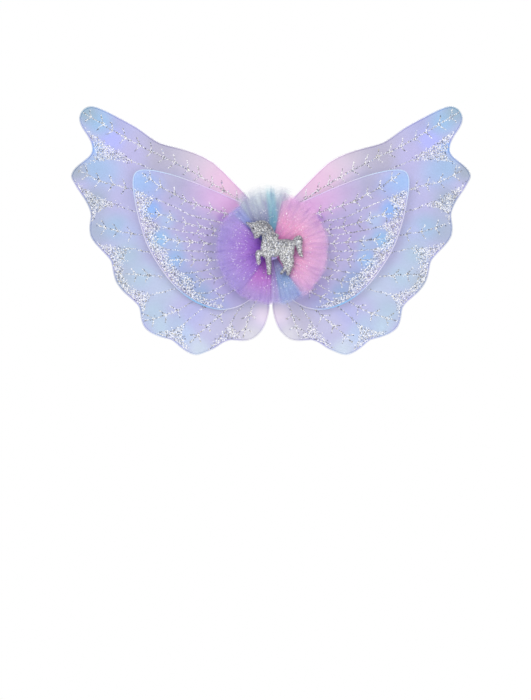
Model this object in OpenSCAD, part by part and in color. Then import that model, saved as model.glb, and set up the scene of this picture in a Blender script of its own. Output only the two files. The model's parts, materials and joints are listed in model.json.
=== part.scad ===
// Child's fairy wings: two scalloped wire-framed wings, a small wing in front of each, a tulle rosette with a
// padded unicorn over the middle, and a back pad with two elastic shoulder straps.
// X runs across the wings, Z is up, and Y points at the wearer. The origin is the centre of the pad's back face.

/* [Wings] */
// Span of the large wings from tip to tip
wing_span = 466; // [440:1:500]
// Thickness of the frame wire
wire_d = 1.8; // [1.6:0.1:2]
// Thickness of the sheer fabric with its glitter print
fabric_t = 0.5; // [0.3:0.1:0.6]
// Angle by which the small wings stand open at rest
small_wing_open = 4; // [3:0.5:5]
// Distance between the root wires of a large and a small wing
root_gap = 4; // [4:0.1:4.4]

/* [Root hinges] */
// Sideways place of each root wire
root_x = 5; // [5:0.1:5.5]
// Depth of the large wings' root wires in front of the pad's back face
root_depth = 13; // [13:0.5:14]
// Gap all round a wire in a loop that it turns in
running_gap = 0.05; // [0.03:0.01:0.08]
// Wall of the tape loops that hold the root wires
loop_wall = 1.1; // [0.9:0.1:1.2]

/* [Back pad] */
// Width of the pad
pad_w = 72; // [68:1:76]
// Height of the pad
pad_h = 92; // [90:1:94]
// Corner radius of the pad
pad_corner = 24; // [22:1:26]
// Thickness of the pad with its backing, at the middle
pad_t = 8; // [7:0.5:8]
// Thickness of the felt backing
backing_t = 1.2; // [1:0.1:1.5]

/* [Shoulder straps] */
// Width of the elastic
strap_w = 10; // [8:0.5:11]
// Thickness of the elastic
strap_t = 1.2; // [1:0.1:1.4]
// Sideways place of the line that each strap's ends lie on
strap_x = 22; // [21:0.5:23]
// How far the strap stands off the pad
strap_depth = 92; // [80:1:100]

/* [Rosette] */
// Radius of the rosette's rim
rosette_r = 61; // [56:1:64]
// Radius of the felt seat and of the gathered core
core_r = 13; // [11:0.5:14]
// Thickness of the layered tulle
tulle_t = 2; // [1.5:0.1:2.4]
// Slope at which the tulle flares forward
flare = 0.375; // [0.35:0.005:0.4]
// Height of the ruffles at the rim
ruffle = 2; // [1:0.1:2.2]

/* [Unicorn] */
// Thickness of the felt behind the unicorn
unicorn_backing_t = 1; // [0.8:0.1:1.2]
// Thickness of the unicorn's filling
unicorn_padding_t = 3.4; // [2:0.1:4]
// Thickness of the glitter cloth over the filling
unicorn_cover_t = 1; // [0.8:0.1:1.2]

/* [Hidden] */
$fn = 48;

RIGHT = 1;
LEFT = -1;
wire_r = wire_d / 2;
bore_r = wire_r + running_gap;
loop_r = bore_r + loop_wall;
touch = 0.02; // gap of a piece that is fast on its wire

// Depths along Y, all measured forward from the pad's back face
large_y = -root_depth;
small_y = large_y - root_gap;
stay_t = 2.5;
stay_front_y = -pad_t - stay_t;
seat_y = small_y - 5;
seat_t = 1.8;
core_y = seat_y - seat_t;
unicorn_y = -39;
unicorn_front_y = unicorn_y - unicorn_backing_t - unicorn_padding_t - unicorn_cover_t;

// Root wires run upright between these heights
large_root = [-45, 38];
small_root = [-34, 30];
hinge_loop_h = 9;
hinge_loop_z = [-36, -2, 30];
bridle_h = 7;
bridle_z = [-26, 12];
large_splice_z = [-21, -11];
small_splice_z = [-20, -12];
notch_gap = 0.6;

// Outline of the right large wing, from the top of the root wire outward round to its foot.
// Each line is one lobe or one edge, and the hollows between lines are the notches.
large_outline = [
    [11, 47], [23, 57], [45, 80], [68, 102], [90, 113], [110, 119], [130, 124.5], [144, 133],
    [158, 143], [180, 155], [197, 163.5], [210, 167.5], [219, 164], [223.5, 155], [221, 145], [214.5, 135],
    [209.5, 125], [208.5, 116], [212.5, 109], [221, 102], [229, 95], [233, 87], [230, 79.5], [225, 71],
    [217, 59], [212, 49], [210, 40], [211.5, 29], [210.5, 17], [204, 7], [194, -3.5],
    [186.5, -13], [184, -25], [180.5, -37], [172, -48.5], [160.5, -58.5],
    [153.5, -67], [151.5, -78], [148, -89], [139.5, -96.5], [127, -101.5],
    [116, -104.5], [108, -111], [98.5, -118], [88, -122], [77, -119], [66, -114],
    [57, -108], [47, -104.5], [34, -105.5], [22, -103.5], [11.5, -94], [5.5, -81], [2.8, -67], [3.8, -55]
];

// Outline of the right small wing, the same way round
small_outline = [
    [12, 40], [26, 50], [45, 59], [68, 69], [90, 78], [113, 86], [134, 91], [147, 92.3], [155, 91], [159.5, 86],
    [160.5, 74], [158, 56], [153, 33], [144, 6], [130.5, -18], [113, -41], [95, -56], [77, -65], [59, -69],
    [43, -67], [30, -61], [18, -52], [8.5, -43]
];

// Outline of the unicorn, which faces left: horn, back of the neck, back, tail, legs, chest, muzzle and brow
unicorn_outline = [
    [-29.3, 31.4], [-26.3, 31.2], [-22.6, 30.9], [-19.3, 31.2], [-16.2, 32.5], [-11, 33.4], [-6, 32.5],
    [-2.5, 29.8], [0.5, 26.6], [2.6, 23.1], [4.4, 19.5], [6.9, 17.9], [9.1, 16.5], [8.5, 13.4],
    [9.7, 11.1], [13.7, 11.6], [19, 12], [23.1, 10.8], [25.6, 11.4], [27.3, 13.8], [30.2, 15.4],
    [33.2, 15.9], [35.8, 14.1], [36.9, 11], [36.3, 5.4], [36.2, 0.1], [36.5, -4.9], [37.2, -8.6],
    [34.9, -9], [32, -5.9], [30.2, -1.6], [29, 2.8], [27.8, 3.8], [27.3, -0.5], [26.9, -4.6], [25.9, -7.8],
    [26.8, -11.6], [26.3, -17.5], [24.9, -22.5], [23.2, -26.3], [21.5, -30], [18.7, -30.7], [17.7, -28.4],
    [17.8, -25.9], [15.8, -25.7], [14.2, -28.1], [12.1, -29.7], [10.3, -28.2], [11.1, -26], [13.6, -22.8],
    [14.2, -19.3], [12.1, -15.3], [10.1, -11.6], [8.8, -7.8], [5.5, -9.2], [2.5, -8.9], [0.6, -8.7],
    [0.3, -12.8], [0.6, -18.1], [0.3, -24], [-0.1, -29], [-2.3, -30.1], [-4.5, -29.2], [-5.1, -23.4],
    [-5.9, -16.3], [-7, -10.7], [-8.6, -9.4], [-11.5, -8], [-12.3, -11.5], [-11.7, -13.7], [-12.3, -16.3],
    [-14.3, -18.5], [-16.3, -16.6], [-17.3, -11.6], [-18.2, -6.6], [-17.5, -2.8], [-15, -0.9],
    [-11.7, -0.6], [-11.9, 3.1], [-11.6, 6.9], [-10.4, 10.7], [-10.6, 14.8], [-11.5, 17.4], [-12.8, 14.8],
    [-14.4, 13.2], [-16.9, 12.7], [-19.1, 12.5], [-20.1, 15.4], [-21, 18.4], [-23, 21.2], [-23.6, 24.2],
    [-26.2, 27.1]
];

unicorn_eye_place = [-20.5, 24];
unicorn_eye_r = 1;

// Strap anchors: the tabs on the pad's backing, and the collars at their ends
anchor_low = 25;
anchor_plate_h = 12;
anchor_top = pad_h / 2 - 0.4;
anchor_y = -backing_t - 0.05 - strap_t;
anchor_room = 0.3;
collar_h = 5;
collar_r = 2.1;
strap_y = -backing_t - 0.05 - collar_r;

// Side view of a shoulder strap from its top end round to its bottom end, as parts of its depth and its height
strap_route = [
    [0, 50.5], [0.04, 54.4], [0.14, 56.6], [0.34, 55.5], [0.57, 50.5], [0.77, 41], [0.92, 26], [0.99, 6],
    [0.99, -13], [0.92, -30], [0.77, -44], [0.57, -52.5], [0.34, -56.5], [0.14, -57], [0.04, -54.4], [0, -50.5]
];
strap_end_z = anchor_top + 1;
neck_r = 1;

// Spine stay: its strip, and the web between the root wires
stay_w = 18;
stay_z = [-43, 41];
web_t = 4;
web_z = [-11, 11];

// Tulle fans: first angle, last angle and reach beyond the rosette's rim, in degrees from +X towards +Z
fan_pink = [-52, 73.5, 2];
fan_aqua = [74, 122, 9];
fan_sky = [122.5, 139, 1];
fan_purple = [139.5, 232, 0];
fan_orchid = [232.5, 267.5, 0];
fan_lilac = [268, 283, 1];
fan_blue = [283.5, 307.5, 1];
ruffle_pitch = 12;
fan_step = 3;
fan_rings = 4;

// ---- Functions ----

// A smooth curve through points: each span from b to c bends as its neighbours a and d lead it
function span_point(a, b, c, d, t) =
    0.5 * ((2 * b) + (c - a) * t + (2 * a - 5 * b + 4 * c - d) * t * t + (3 * b - a - 3 * c + d) * t * t * t);

// Open curve from p[1] to the last point but one, which the end points only steer
function open_curve(p, steps) = concat(
    [for (i = [1 : len(p) - 3], s = [0 : steps - 1]) span_point(p[i - 1], p[i], p[i + 1], p[i + 2], s / steps)],
    [p[len(p) - 2]]
);

// Direction along an open curve at point i
function along(p, i) =
    let (d = p[min(i + 1, len(p) - 1)] - p[max(i - 1, 0)])
    d / norm(d);

// Line beside an open curve, at distance d to its left
function beside(p, d) = [for (i = [0 : len(p) - 1]) let (a = along(p, i)) p[i] + d * [-a.y, a.x]];

// Closed curve moved inward by d, for a curve that runs clockwise
function inset(p, d) = [
    for (i = [0 : len(p) - 1])
        let (a = p[(i + 1) % len(p)] - p[(i + len(p) - 1) % len(p)])
        p[i] + d * [a.y, -a.x] / norm(a)
];

// The wings' outlines are drawn for this span, and stretch about the root wire
drawn_span = 466;
function stretched(p) = [
    for (q = p) [root_x + (q.x - 5) * (wing_span / 2 - root_x) / (drawn_span / 2 - 5), q.y]
];

// Path of a wing's wire, from the top of its straight root run round to the foot of it
function wire_path(outline, root, steps) = open_curve(
    concat(
        [[root_x, root[1] - 10], [root_x, root[1]]],
        stretched(outline),
        [[root_x, root[0]], [root_x, root[0] + 10]]
    ),
    steps
);

large_path = wire_path(large_outline, large_root, 2);
small_path = wire_path(small_outline, small_root, 3);

// ---- Shared shapes ----

// A plate whose outline stands in the XZ plane, from depth y forward
module upright_plate(y, thickness) {
    translate([0, y, 0])
        rotate([90, 0, 0])
            linear_extrude(thickness)
                children();
}

// A round rod with eight sides along a path in the XZ plane
module bent_wire(path) {
    sides = 8;
    rod_r = wire_r * 1.02;
    count = len(path);
    rings = [
        for (i = [0 : count - 1], k = [0 : sides - 1])
            let (
                // The first and the last ring stand square to the straight root run
                a = (i == 0) ? [0, 1] : (i == count - 1) ? [0, 1] : along(path, i),
                turn = 360 * (k + 0.5) / sides,
                out = rod_r * cos(turn)
            )
            [path[i].x - a.y * out, rod_r * sin(turn), path[i].y + a.x * out]
    ];
    walls = [
        for (i = [0 : count - 2], k = [0 : sides - 1])
            let (n = (k + 1) % sides, b = i * sides)
            each [[b + k, b + n, b + sides + n], [b + k, b + sides + n, b + sides + k]]
    ];
    first_cap = [for (k = [sides - 1 : -1 : 0]) k];
    last_cap = [for (k = [0 : sides - 1]) (count - 1) * sides + k];
    polyhedron(rings, concat([first_cap], walls, [last_cap]));
}

// A tube that stands upright round a wire
module upright_tube(x, y, z, h, r, bore) {
    translate([x, y, z - h / 2])
        difference() {
            cylinder(h = h, r = r);
            translate([0, 0, -1])
                cylinder(h = h + 2, r = bore);
        }
}

// A wire loop: the bent part and its round straight root, which is the hinge's pin
module wire_frame(path, root, y) {
    translate([0, y, 0]) {
        bent_wire(path);
        translate([root_x, 0, root[0]])
            cylinder(h = root[1] - root[0], r = wire_r);
    }
}

// A space cut from a fabric's root edge to clear a loop that reaches from z_low to z_high
module root_notch(z_low, z_high, y, reach) {
    translate([0, y - 5, z_low - notch_gap])
        cube([reach, 10, z_high - z_low + 2 * notch_gap]);
}

// The fabric of a wing, which lies on the front of its wire
module fabric_sheet(path, y) {
    upright_plate(y - wire_r, fabric_t)
        polygon(path);
}

// Swings a small wing open about its root wire
module opened(side) {
    translate([side * root_x, small_y, 0])
        rotate([0, 0, -side * small_wing_open])
            translate([-side * root_x, -small_y, 0])
                children();
}

// The left wing is the mirror image of the right one
module on_side(side) {
    if (side == LEFT)
        mirror([1, 0, 0])
            children();
    else
        children();
}

// ---- Back pad ----

module pad_outline(margin = 0) {
    w = pad_w / 2 - margin;
    h = pad_h / 2 - margin;
    r = pad_corner - margin;
    square([2 * w, 2 * (h - r)], center = true);
    square([2 * (w - r), 2 * h], center = true);
    for (x = [-1, 1], z = [-1, 1])
        translate([x * (w - r), z * (h - r)])
            circle(r);
}

module pad_backing() {
    color("#E9E6EE")
        upright_plate(0, backing_t)
            pad_outline();
}

// Cushion with a flat front for the stay and bevelled sides, so that the wings can swing back beside it
module pad_cushion() {
    color("#F1EEF5")
        difference() {
            hull($fn = 32) {
                upright_plate(-backing_t, 1.3)
                    pad_outline(1.5);
                upright_plate(-pad_t + 0.1, 0.1)
                    square([stay_w + 8, pad_h - 14], center = true);
            }
            for (x = [-1, 1], z = [0, 1])
                translate([x * strap_x, 0, 0])
                    mirror([0, 0, z])
                        strap_anchor_room();
        }
}

// ---- Strap anchors ----

// The hollow that the cushion leaves for one anchor
module strap_anchor_room() {
    depth = strap_t + 0.05 + anchor_room;
    wide = strap_w / 2 + anchor_room;
    narrow = collar_r + anchor_room;
    translate([-wide, anchor_y - anchor_room, anchor_low - anchor_room])
        cube([2 * wide, depth + 0.2, anchor_plate_h + 2 * anchor_room]);
    translate([-narrow, anchor_y - anchor_room, anchor_low])
        cube([2 * narrow, depth + 0.2, anchor_top - anchor_low + 5]);
    translate([0, strap_y, anchor_top - collar_h - anchor_room])
        cylinder(h = collar_h + 5, r = narrow);
}

// A hemmed tab sewn to the backing, which narrows to a bound collar where the strap's neck turns
module strap_anchor() {
    difference() {
        union() {
            translate([-strap_w / 2, anchor_y, anchor_low])
                cube([strap_w, strap_t, anchor_plate_h]);
            translate([-collar_r * 0.9, anchor_y, anchor_low])
                cube([collar_r * 1.8, strap_t, anchor_top - collar_h + 1 - anchor_low]);
            translate([0, strap_y, anchor_top - collar_h])
                cylinder(h = collar_h, r = collar_r);
        }
        translate([0, strap_y, anchor_top - collar_h])
            cylinder(h = collar_h + 1, r = neck_r + running_gap);
    }
}

module strap_anchors() {
    color("#FFFFFF")
        for (x = [-1, 1], z = [0, 1])
            translate([x * strap_x, 0, 0])
                mirror([0, 0, z])
                    strap_anchor();
}

// ---- Spine stay and hinge loops ----

// A stiff strip on the cushion, with a web between the root wires that carries the rosette
module spine_stay() {
    color("#D9D4E3") {
        translate([-stay_w / 2, stay_front_y, stay_z[0]])
            cube([stay_w, stay_t, stay_z[1] - stay_z[0]]);
        translate([-web_t / 2, seat_y, web_z[0]])
            cube([web_t, stay_front_y - seat_y, web_z[1] - web_z[0]]);
    }
}

// Tape loops that the large wing's root wire turns in, each with a foot on the stay
module hinge_loops(side) {
    foot_w = 2 * loop_r - 0.4;
    color("#F4F0FA")
        for (z = hinge_loop_z)
            difference() {
                union() {
                    upright_tube(side * root_x, large_y, z, hinge_loop_h, loop_r, bore_r);
                    translate([side * root_x - foot_w / 2, large_y + bore_r + 0.1, z - hinge_loop_h / 2])
                        cube([foot_w, stay_front_y - large_y - bore_r - 0.1, hinge_loop_h]);
                }
                translate([side * root_x, large_y, z - hinge_loop_h])
                    cylinder(h = 2 * hinge_loop_h, r = bore_r);
            }
}

module hinge_loops_left() {
    hinge_loops(LEFT);
}

module hinge_loops_right() {
    hinge_loops(RIGHT);
}

// ---- Rosette ----

module rosette_seat() {
    color("#CFC4E6")
        upright_plate(seat_y, seat_t)
            circle(core_r + 1);
}

// The gathered knot of tulle, which the fans spring from
module rosette_core() {
    color("#B79AD9")
        upright_plate(core_y, core_y - unicorn_y)
            circle(core_r);
}

// Depth of the middle of the tulle at a place on the rosette
function tulle_depth(angle, r) =
    let (out = (r - core_r) / (rosette_r - core_r))
    core_y - tulle_t / 2 - 0.15 - flare * (r - core_r) + ruffle * out * sin(360 * angle / ruffle_pitch);

// One gathered fan of tulle between two angles
module tulle_fan(fan) {
    columns = ceil((fan[1] - fan[0]) / fan_step);
    row = 2 * (fan_rings + 1);
    grid = [
        for (i = [0 : columns], s = [0, 1], j = [0 : fan_rings])
            let (
                angle = fan[0] + (fan[1] - fan[0]) * i / columns,
                reach = rosette_r + fan[2] * sin(180 * i / columns) + 1.2 * sin(5 * angle),
                r = core_r + 0.3 + (reach - core_r - 0.3) * j / fan_rings,
                half = (s == 0) ? tulle_t / 2 : -tulle_t / 2
            )
            [r * cos(angle), tulle_depth(angle, r) + half, r * sin(angle)]
    ];
    back = [for (j = [0 : fan_rings]) j];
    front = [for (j = [fan_rings : -1 : 0]) fan_rings + 1 + j];
    ring = concat(back, front);
    around = len(ring);
    skin = [
        for (i = [0 : columns - 1], k = [0 : around - 1])
            let (a = i * row + ring[k], b = i * row + ring[(k + 1) % around])
            each [[a, a + row, b + row], [a, b + row, b]]
    ];
    start_cap = [for (j = [0 : fan_rings - 1]) each [
        [j, j + 1, fan_rings + 2 + j],
        [j, fan_rings + 2 + j, fan_rings + 1 + j]
    ]];
    last = columns * row;
    end_cap = [for (f = start_cap) [last + f[2], last + f[1], last + f[0]]];
    polyhedron(grid, concat(start_cap, skin, end_cap));
}

module tulle_pink() {
    color("#EFA9CF")
        tulle_fan(fan_pink);
}

module tulle_aqua() {
    color("#8CC4D4")
        tulle_fan(fan_aqua);
}

module tulle_sky() {
    color("#8FA8DE")
        tulle_fan(fan_sky);
}

module tulle_purple() {
    color("#9A7BD4")
        tulle_fan(fan_purple);
}

module tulle_orchid() {
    color("#C46FD0")
        tulle_fan(fan_orchid);
}

module tulle_lilac() {
    color("#B9A2E4")
        tulle_fan(fan_lilac);
}

module tulle_blue() {
    color("#7FA6D6")
        tulle_fan(fan_blue);
}

// ---- Unicorn ----

module unicorn_backing() {
    color("#B8B4C4")
        upright_plate(unicorn_y, unicorn_backing_t)
            polygon(unicorn_outline);
}

module unicorn_padding() {
    color("#F2F2F5")
        upright_plate(unicorn_y - unicorn_backing_t, unicorn_padding_t)
            polygon(inset(unicorn_outline, unicorn_cover_t * 0.8));
}

// Glitter cloth over the front and the sides of the filling
module unicorn_cover() {
    color("#C9CBD6")
        difference() {
            upright_plate(unicorn_y - unicorn_backing_t, unicorn_padding_t + unicorn_cover_t)
                polygon(unicorn_outline);
            upright_plate(unicorn_y - unicorn_backing_t + 1, unicorn_padding_t + 1)
                polygon(inset(unicorn_outline, unicorn_cover_t * 0.8));
        }
}

module unicorn_eye() {
    color("#3A3744")
        upright_plate(unicorn_front_y, 0.8)
            translate(unicorn_eye_place)
                circle(unicorn_eye_r);
}

// ---- Large wings ----

module large_frame(side) {
    color("#BBD4EE")
        on_side(side)
            wire_frame(large_path, large_root, large_y);
}

// Sheer fabric, cut away beside each loop on the root wire
module large_fabric(side) {
    reach = root_x + loop_r + 0.5;
    color("#B4BEEE", 0.75)
        on_side(side)
            difference() {
                fabric_sheet(large_path, large_y);
                for (z = hinge_loop_z)
                    root_notch(z - hinge_loop_h / 2, z + hinge_loop_h / 2, large_y, reach);
                for (z = bridle_z)
                    root_notch(z - bridle_h / 2, z + bridle_h / 2, large_y, reach);
                root_notch(large_splice_z[0], large_splice_z[1], large_y, reach);
            }
}

// The sleeve that closes a wire loop
module splice(side, y, span) {
    color("#8E8A9C")
        upright_tube(side * root_x, y, (span[0] + span[1]) / 2, span[1] - span[0], wire_r + 0.7, wire_r + touch);
}

// Short loops that tie the small wing's root wire in front of the large one's, fast on the large one
module bridles(side) {
    bar_t = 1.8;
    color("#F4F0FA")
        for (z = bridle_z)
            difference() {
                union() {
                    upright_tube(side * root_x, large_y, z, bridle_h, loop_r, wire_r + touch);
                    upright_tube(side * root_x, small_y, z, bridle_h, loop_r, bore_r);
                    translate([side * root_x - bar_t / 2, small_y, z - bridle_h / 2])
                        cube([bar_t, root_gap, bridle_h]);
                }
                translate([side * root_x, large_y, z - bridle_h])
                    cylinder(h = 2 * bridle_h, r = wire_r + touch);
                translate([side * root_x, small_y, z - bridle_h])
                    cylinder(h = 2 * bridle_h, r = bore_r);
            }
}

module large_frame_left() {
    large_frame(LEFT);
}

module large_frame_right() {
    large_frame(RIGHT);
}

module large_fabric_left() {
    large_fabric(LEFT);
}

module large_fabric_right() {
    large_fabric(RIGHT);
}

module large_splice_left() {
    splice(LEFT, large_y, large_splice_z);
}

module large_splice_right() {
    splice(RIGHT, large_y, large_splice_z);
}

module bridles_left() {
    bridles(LEFT);
}

module bridles_right() {
    bridles(RIGHT);
}

// ---- Small wings ----

module small_frame(side) {
    color("#C5DCF8")
        opened(side)
            on_side(side)
                wire_frame(small_path, small_root, small_y);
}

module small_fabric(side) {
    reach = root_x + loop_r + 0.5;
    color("#BBA9EA", 0.75)
        opened(side)
            on_side(side)
                difference() {
                    fabric_sheet(small_path, small_y);
                    for (z = bridle_z)
                        root_notch(z - bridle_h / 2, z + bridle_h / 2, small_y, reach);
                    root_notch(small_splice_z[0], small_splice_z[1], small_y, reach);
                }
}

module small_frame_left() {
    small_frame(LEFT);
}

module small_frame_right() {
    small_frame(RIGHT);
}

module small_fabric_left() {
    small_fabric(LEFT);
}

module small_fabric_right() {
    small_fabric(RIGHT);
}

module small_splice_left() {
    splice(LEFT, small_y, small_splice_z);
}

module small_splice_right() {
    splice(RIGHT, small_y, small_splice_z);
}

// ---- Shoulder straps ----

// A flat elastic loop whose two gathered ends turn in the anchors' collars
module shoulder_strap(side) {
    ends = [[strap_y, strap_end_z - 4], [strap_y, strap_end_z]];
    bend = [for (p = strap_route) [strap_y + p[0] * strap_depth, p[1]]];
    foot = [[strap_y, -strap_end_z], [strap_y, -strap_end_z + 4]];
    curve = open_curve(concat(ends, bend, foot), 3);
    band = concat(beside(curve, strap_t / 2), [for (i = [len(curve) - 1 : -1 : 0]) beside(curve, -strap_t / 2)[i]]);
    neck_low = anchor_top - collar_h + 0.4;
    color("#FAFAFC")
        translate([side * strap_x, 0, 0]) {
            rotate([90, 0, 90])
                translate([0, 0, -strap_w / 2])
                    linear_extrude(strap_w)
                        polygon(band);
            for (flip = [0, 1])
                mirror([0, 0, flip])
                    translate([0, strap_y, neck_low])
                        cylinder(h = strap_end_z - neck_low, r = neck_r);
        }
}

module shoulder_strap_left() {
    shoulder_strap(LEFT);
}

module shoulder_strap_right() {
    shoulder_strap(RIGHT);
}

pad_backing();
pad_cushion();
spine_stay();
strap_anchors();
hinge_loops_left();
hinge_loops_right();
rosette_seat();
rosette_core();
tulle_pink();
tulle_aqua();
tulle_sky();
tulle_purple();
tulle_orchid();
tulle_lilac();
tulle_blue();
unicorn_backing();
unicorn_padding();
unicorn_cover();
unicorn_eye();
large_frame_left();
large_fabric_left();
large_splice_left();
bridles_left();
large_frame_right();
large_fabric_right();
large_splice_right();
bridles_right();
small_frame_left();
small_fabric_left();
small_splice_left();
small_frame_right();
small_fabric_right();
small_splice_right();
shoulder_strap_left();
shoulder_strap_right();
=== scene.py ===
"""Looks of the fairy wings: sheer printed nylon on wire, glitter, a tulle rosette, a padded unicorn, pad and straps.

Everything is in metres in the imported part's frame: X across the wings, Z up, and the wearer at +Y.
"""
import json
import math
import random

import bmesh
import bpy
import numpy as np
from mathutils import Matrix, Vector, geometry, noise


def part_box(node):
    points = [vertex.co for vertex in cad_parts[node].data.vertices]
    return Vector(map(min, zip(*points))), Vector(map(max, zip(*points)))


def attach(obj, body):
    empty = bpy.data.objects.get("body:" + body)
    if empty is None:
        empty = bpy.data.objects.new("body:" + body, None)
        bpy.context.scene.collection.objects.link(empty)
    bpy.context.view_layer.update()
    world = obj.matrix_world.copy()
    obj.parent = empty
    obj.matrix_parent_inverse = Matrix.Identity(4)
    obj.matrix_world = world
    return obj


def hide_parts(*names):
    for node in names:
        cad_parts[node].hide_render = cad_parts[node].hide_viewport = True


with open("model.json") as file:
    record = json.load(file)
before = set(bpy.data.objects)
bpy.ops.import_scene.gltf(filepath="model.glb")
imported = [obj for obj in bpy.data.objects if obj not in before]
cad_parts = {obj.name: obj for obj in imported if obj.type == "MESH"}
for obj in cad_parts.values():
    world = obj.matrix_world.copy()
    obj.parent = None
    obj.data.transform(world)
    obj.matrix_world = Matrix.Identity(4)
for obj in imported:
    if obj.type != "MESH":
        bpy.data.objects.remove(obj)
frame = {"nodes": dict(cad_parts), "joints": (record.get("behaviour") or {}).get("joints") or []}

MM = 0.001
TURN = 2 * math.pi
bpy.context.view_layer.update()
NODES = frame["nodes"]
JOINTS = {j["name"]: j for j in frame["joints"]}
SIDES = {"left": -1, "right": 1}


# ---------------------------------------------------------------- meshes

def make_object(name, verts, faces, materials, smooth=True, face_slots=None):
    """A mesh object from points in metres, with its materials and an index into them for each face."""
    mesh = bpy.data.meshes.new(name)
    mesh.from_pydata([tuple(v) for v in verts], [], [tuple(f) for f in faces])
    for m in materials:
        mesh.materials.append(m)
    if face_slots is not None:
        mesh.polygons.foreach_set("material_index", face_slots)
    mesh.polygons.foreach_set("use_smooth", [smooth] * len(mesh.polygons))
    mesh.validate()
    mesh.update()
    obj = bpy.data.objects.new(name, mesh)
    bpy.context.scene.collection.objects.link(obj)
    return obj


def fix_normals(obj):
    bm = bmesh.new()
    bm.from_mesh(obj.data)
    bmesh.ops.recalc_face_normals(bm, faces=bm.faces)
    bm.to_mesh(obj.data)
    bm.free()
    return obj


def place_piece(obj, body, replaced=()):
    """Puts a piece on the body that it rides on, and hides the CAD nodes that it stands for."""
    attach(obj, body)
    if replaced:
        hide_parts(*replaced)
    return obj


def add_piece(name, shape, material, body, replaced=(), recalculate=True):
    """A piece of one material from its points and faces. Recalculate turns its faces outward."""
    obj = make_object(name, *shape, [material])
    if recalculate:
        fix_normals(obj)
    return place_piece(obj, body, replaced)


def smooth_curve(points, steps, closed=False):
    """A Catmull-Rom curve through the points, with that many steps between two of them."""
    p = np.array(points, float)
    before, after = (p[-1:], p[:2]) if closed else (2 * p[:1] - p[1:2], 2 * p[-1:] - p[-2:-1])
    p = np.vstack([before, p, after])
    out = []
    for a, b, c, d in zip(p, p[1:], p[2:], p[3:]):
        for s in range(steps):
            t = s / steps
            out.append(0.5 * (2 * b + (c - a) * t + (2 * a - 5 * b + 4 * c - d) * t * t
                              + (3 * b - a - 3 * c + d) * t ** 3))
    if not closed:
        out.append(p[-2])
    return np.array(out)


def resample(points, spacing, closed=False):
    """The same line with points an even distance apart."""
    p = np.array(points, float)
    if closed:
        p = np.vstack([p, p[:1]])
    where = np.concatenate([[0], np.cumsum(np.linalg.norm(np.diff(p, axis=0), axis=1))])
    at = np.linspace(0, where[-1], max(2, int(round(where[-1] / spacing))) + 1)
    if closed:
        at = at[:-1]
    return np.stack([np.interp(at, where, p[:, k]) for k in range(p.shape[1])], axis=1)


def clean_copy(node):
    """The CAD node's mesh as a bmesh with its split corners joined."""
    bm = bmesh.new()
    bm.from_mesh(NODES[node].data)
    bmesh.ops.remove_doubles(bm, verts=bm.verts, dist=1e-6)
    bm.normal_update()
    return bm


def face_loop(node, direction):
    """The outline of a CAD node's flat face that looks along a direction, as ordered points."""
    bm = clean_copy(node)
    normal = Vector(direction).normalized()
    flat = {f for f in bm.faces if f.normal.dot(normal) > 0.999}
    onward = {}
    for f in flat:
        for loop in f.loops:
            if not any(other in flat for other in loop.edge.link_faces if other != f):
                onward[loop.vert.index] = loop.link_loop_next.vert.index
    points = {v.index: tuple(v.co) for v in bm.verts}
    bm.free()
    start = min(onward)
    order, here = [start], onward[start]
    while here != start:
        order.append(here)
        here = onward[here]
    return np.array([points[i] for i in order])


def main_normal(node):
    """Direction of the faces of a CAD node that look forward, away from the wearer."""
    bm = clean_copy(node)
    total = Vector()
    for f in bm.faces:
        if f.normal.y < -0.9:
            total += f.normal * f.calc_area()
    bm.free()
    return total.normalized()


def inside_polygon(points, polygon):
    """For each 2D point, True if it is inside the polygon."""
    x, z = points[:, 0], points[:, 1]
    inside = np.zeros(len(points), bool)
    for (x0, z0), (x1, z1) in zip(polygon, np.roll(polygon, -1, axis=0)):
        with np.errstate(divide="ignore", invalid="ignore"):
            at = (x1 - x0) * (z - z0) / (z1 - z0) + x0
        inside ^= ((z0 > z) != (z1 > z)) & (x < at)
    return inside


def edge_distance(points, polygon):
    """Distance of each 2D point from the polygon's edge."""
    best = np.full(len(points), 1e9)
    for p, q in zip(polygon, np.roll(polygon, -1, axis=0)):
        d = q - p
        length = float(d @ d)
        if length >= 1e-18:
            t = np.clip(((points - p) @ d) / length, 0, 1)
            best = np.minimum(best, np.linalg.norm(points - p - t[:, None] * d, axis=1))
    return best


def anticlockwise(outline):
    x, z = outline.T
    return np.sum(x * np.roll(z, -1) - np.roll(x, -1) * z) > 0


def inward(outline, span=1):
    """A closed 2D outline's unit normals to its inner side, taken across that many points each way."""
    tangent = np.roll(outline, -span, 0) - np.roll(outline, span, 0)
    normal = np.stack([tangent[:, 1], -tangent[:, 0]], 1)
    normal /= np.linalg.norm(normal, axis=1)[:, None]
    return -normal if anticlockwise(outline) else normal


def scatter(low, high, gap, rng):
    """Places on a grid of that gap, each moved at random by up to half of it."""
    places = []
    z = low[1]
    while z < high[1]:
        x = low[0]
        while x < high[0]:
            places.append((x + rng.uniform(-0.5, 0.5) * gap, z + rng.uniform(-0.5, 0.5) * gap))
            x += gap
        z += gap
    return np.array(places)


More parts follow.
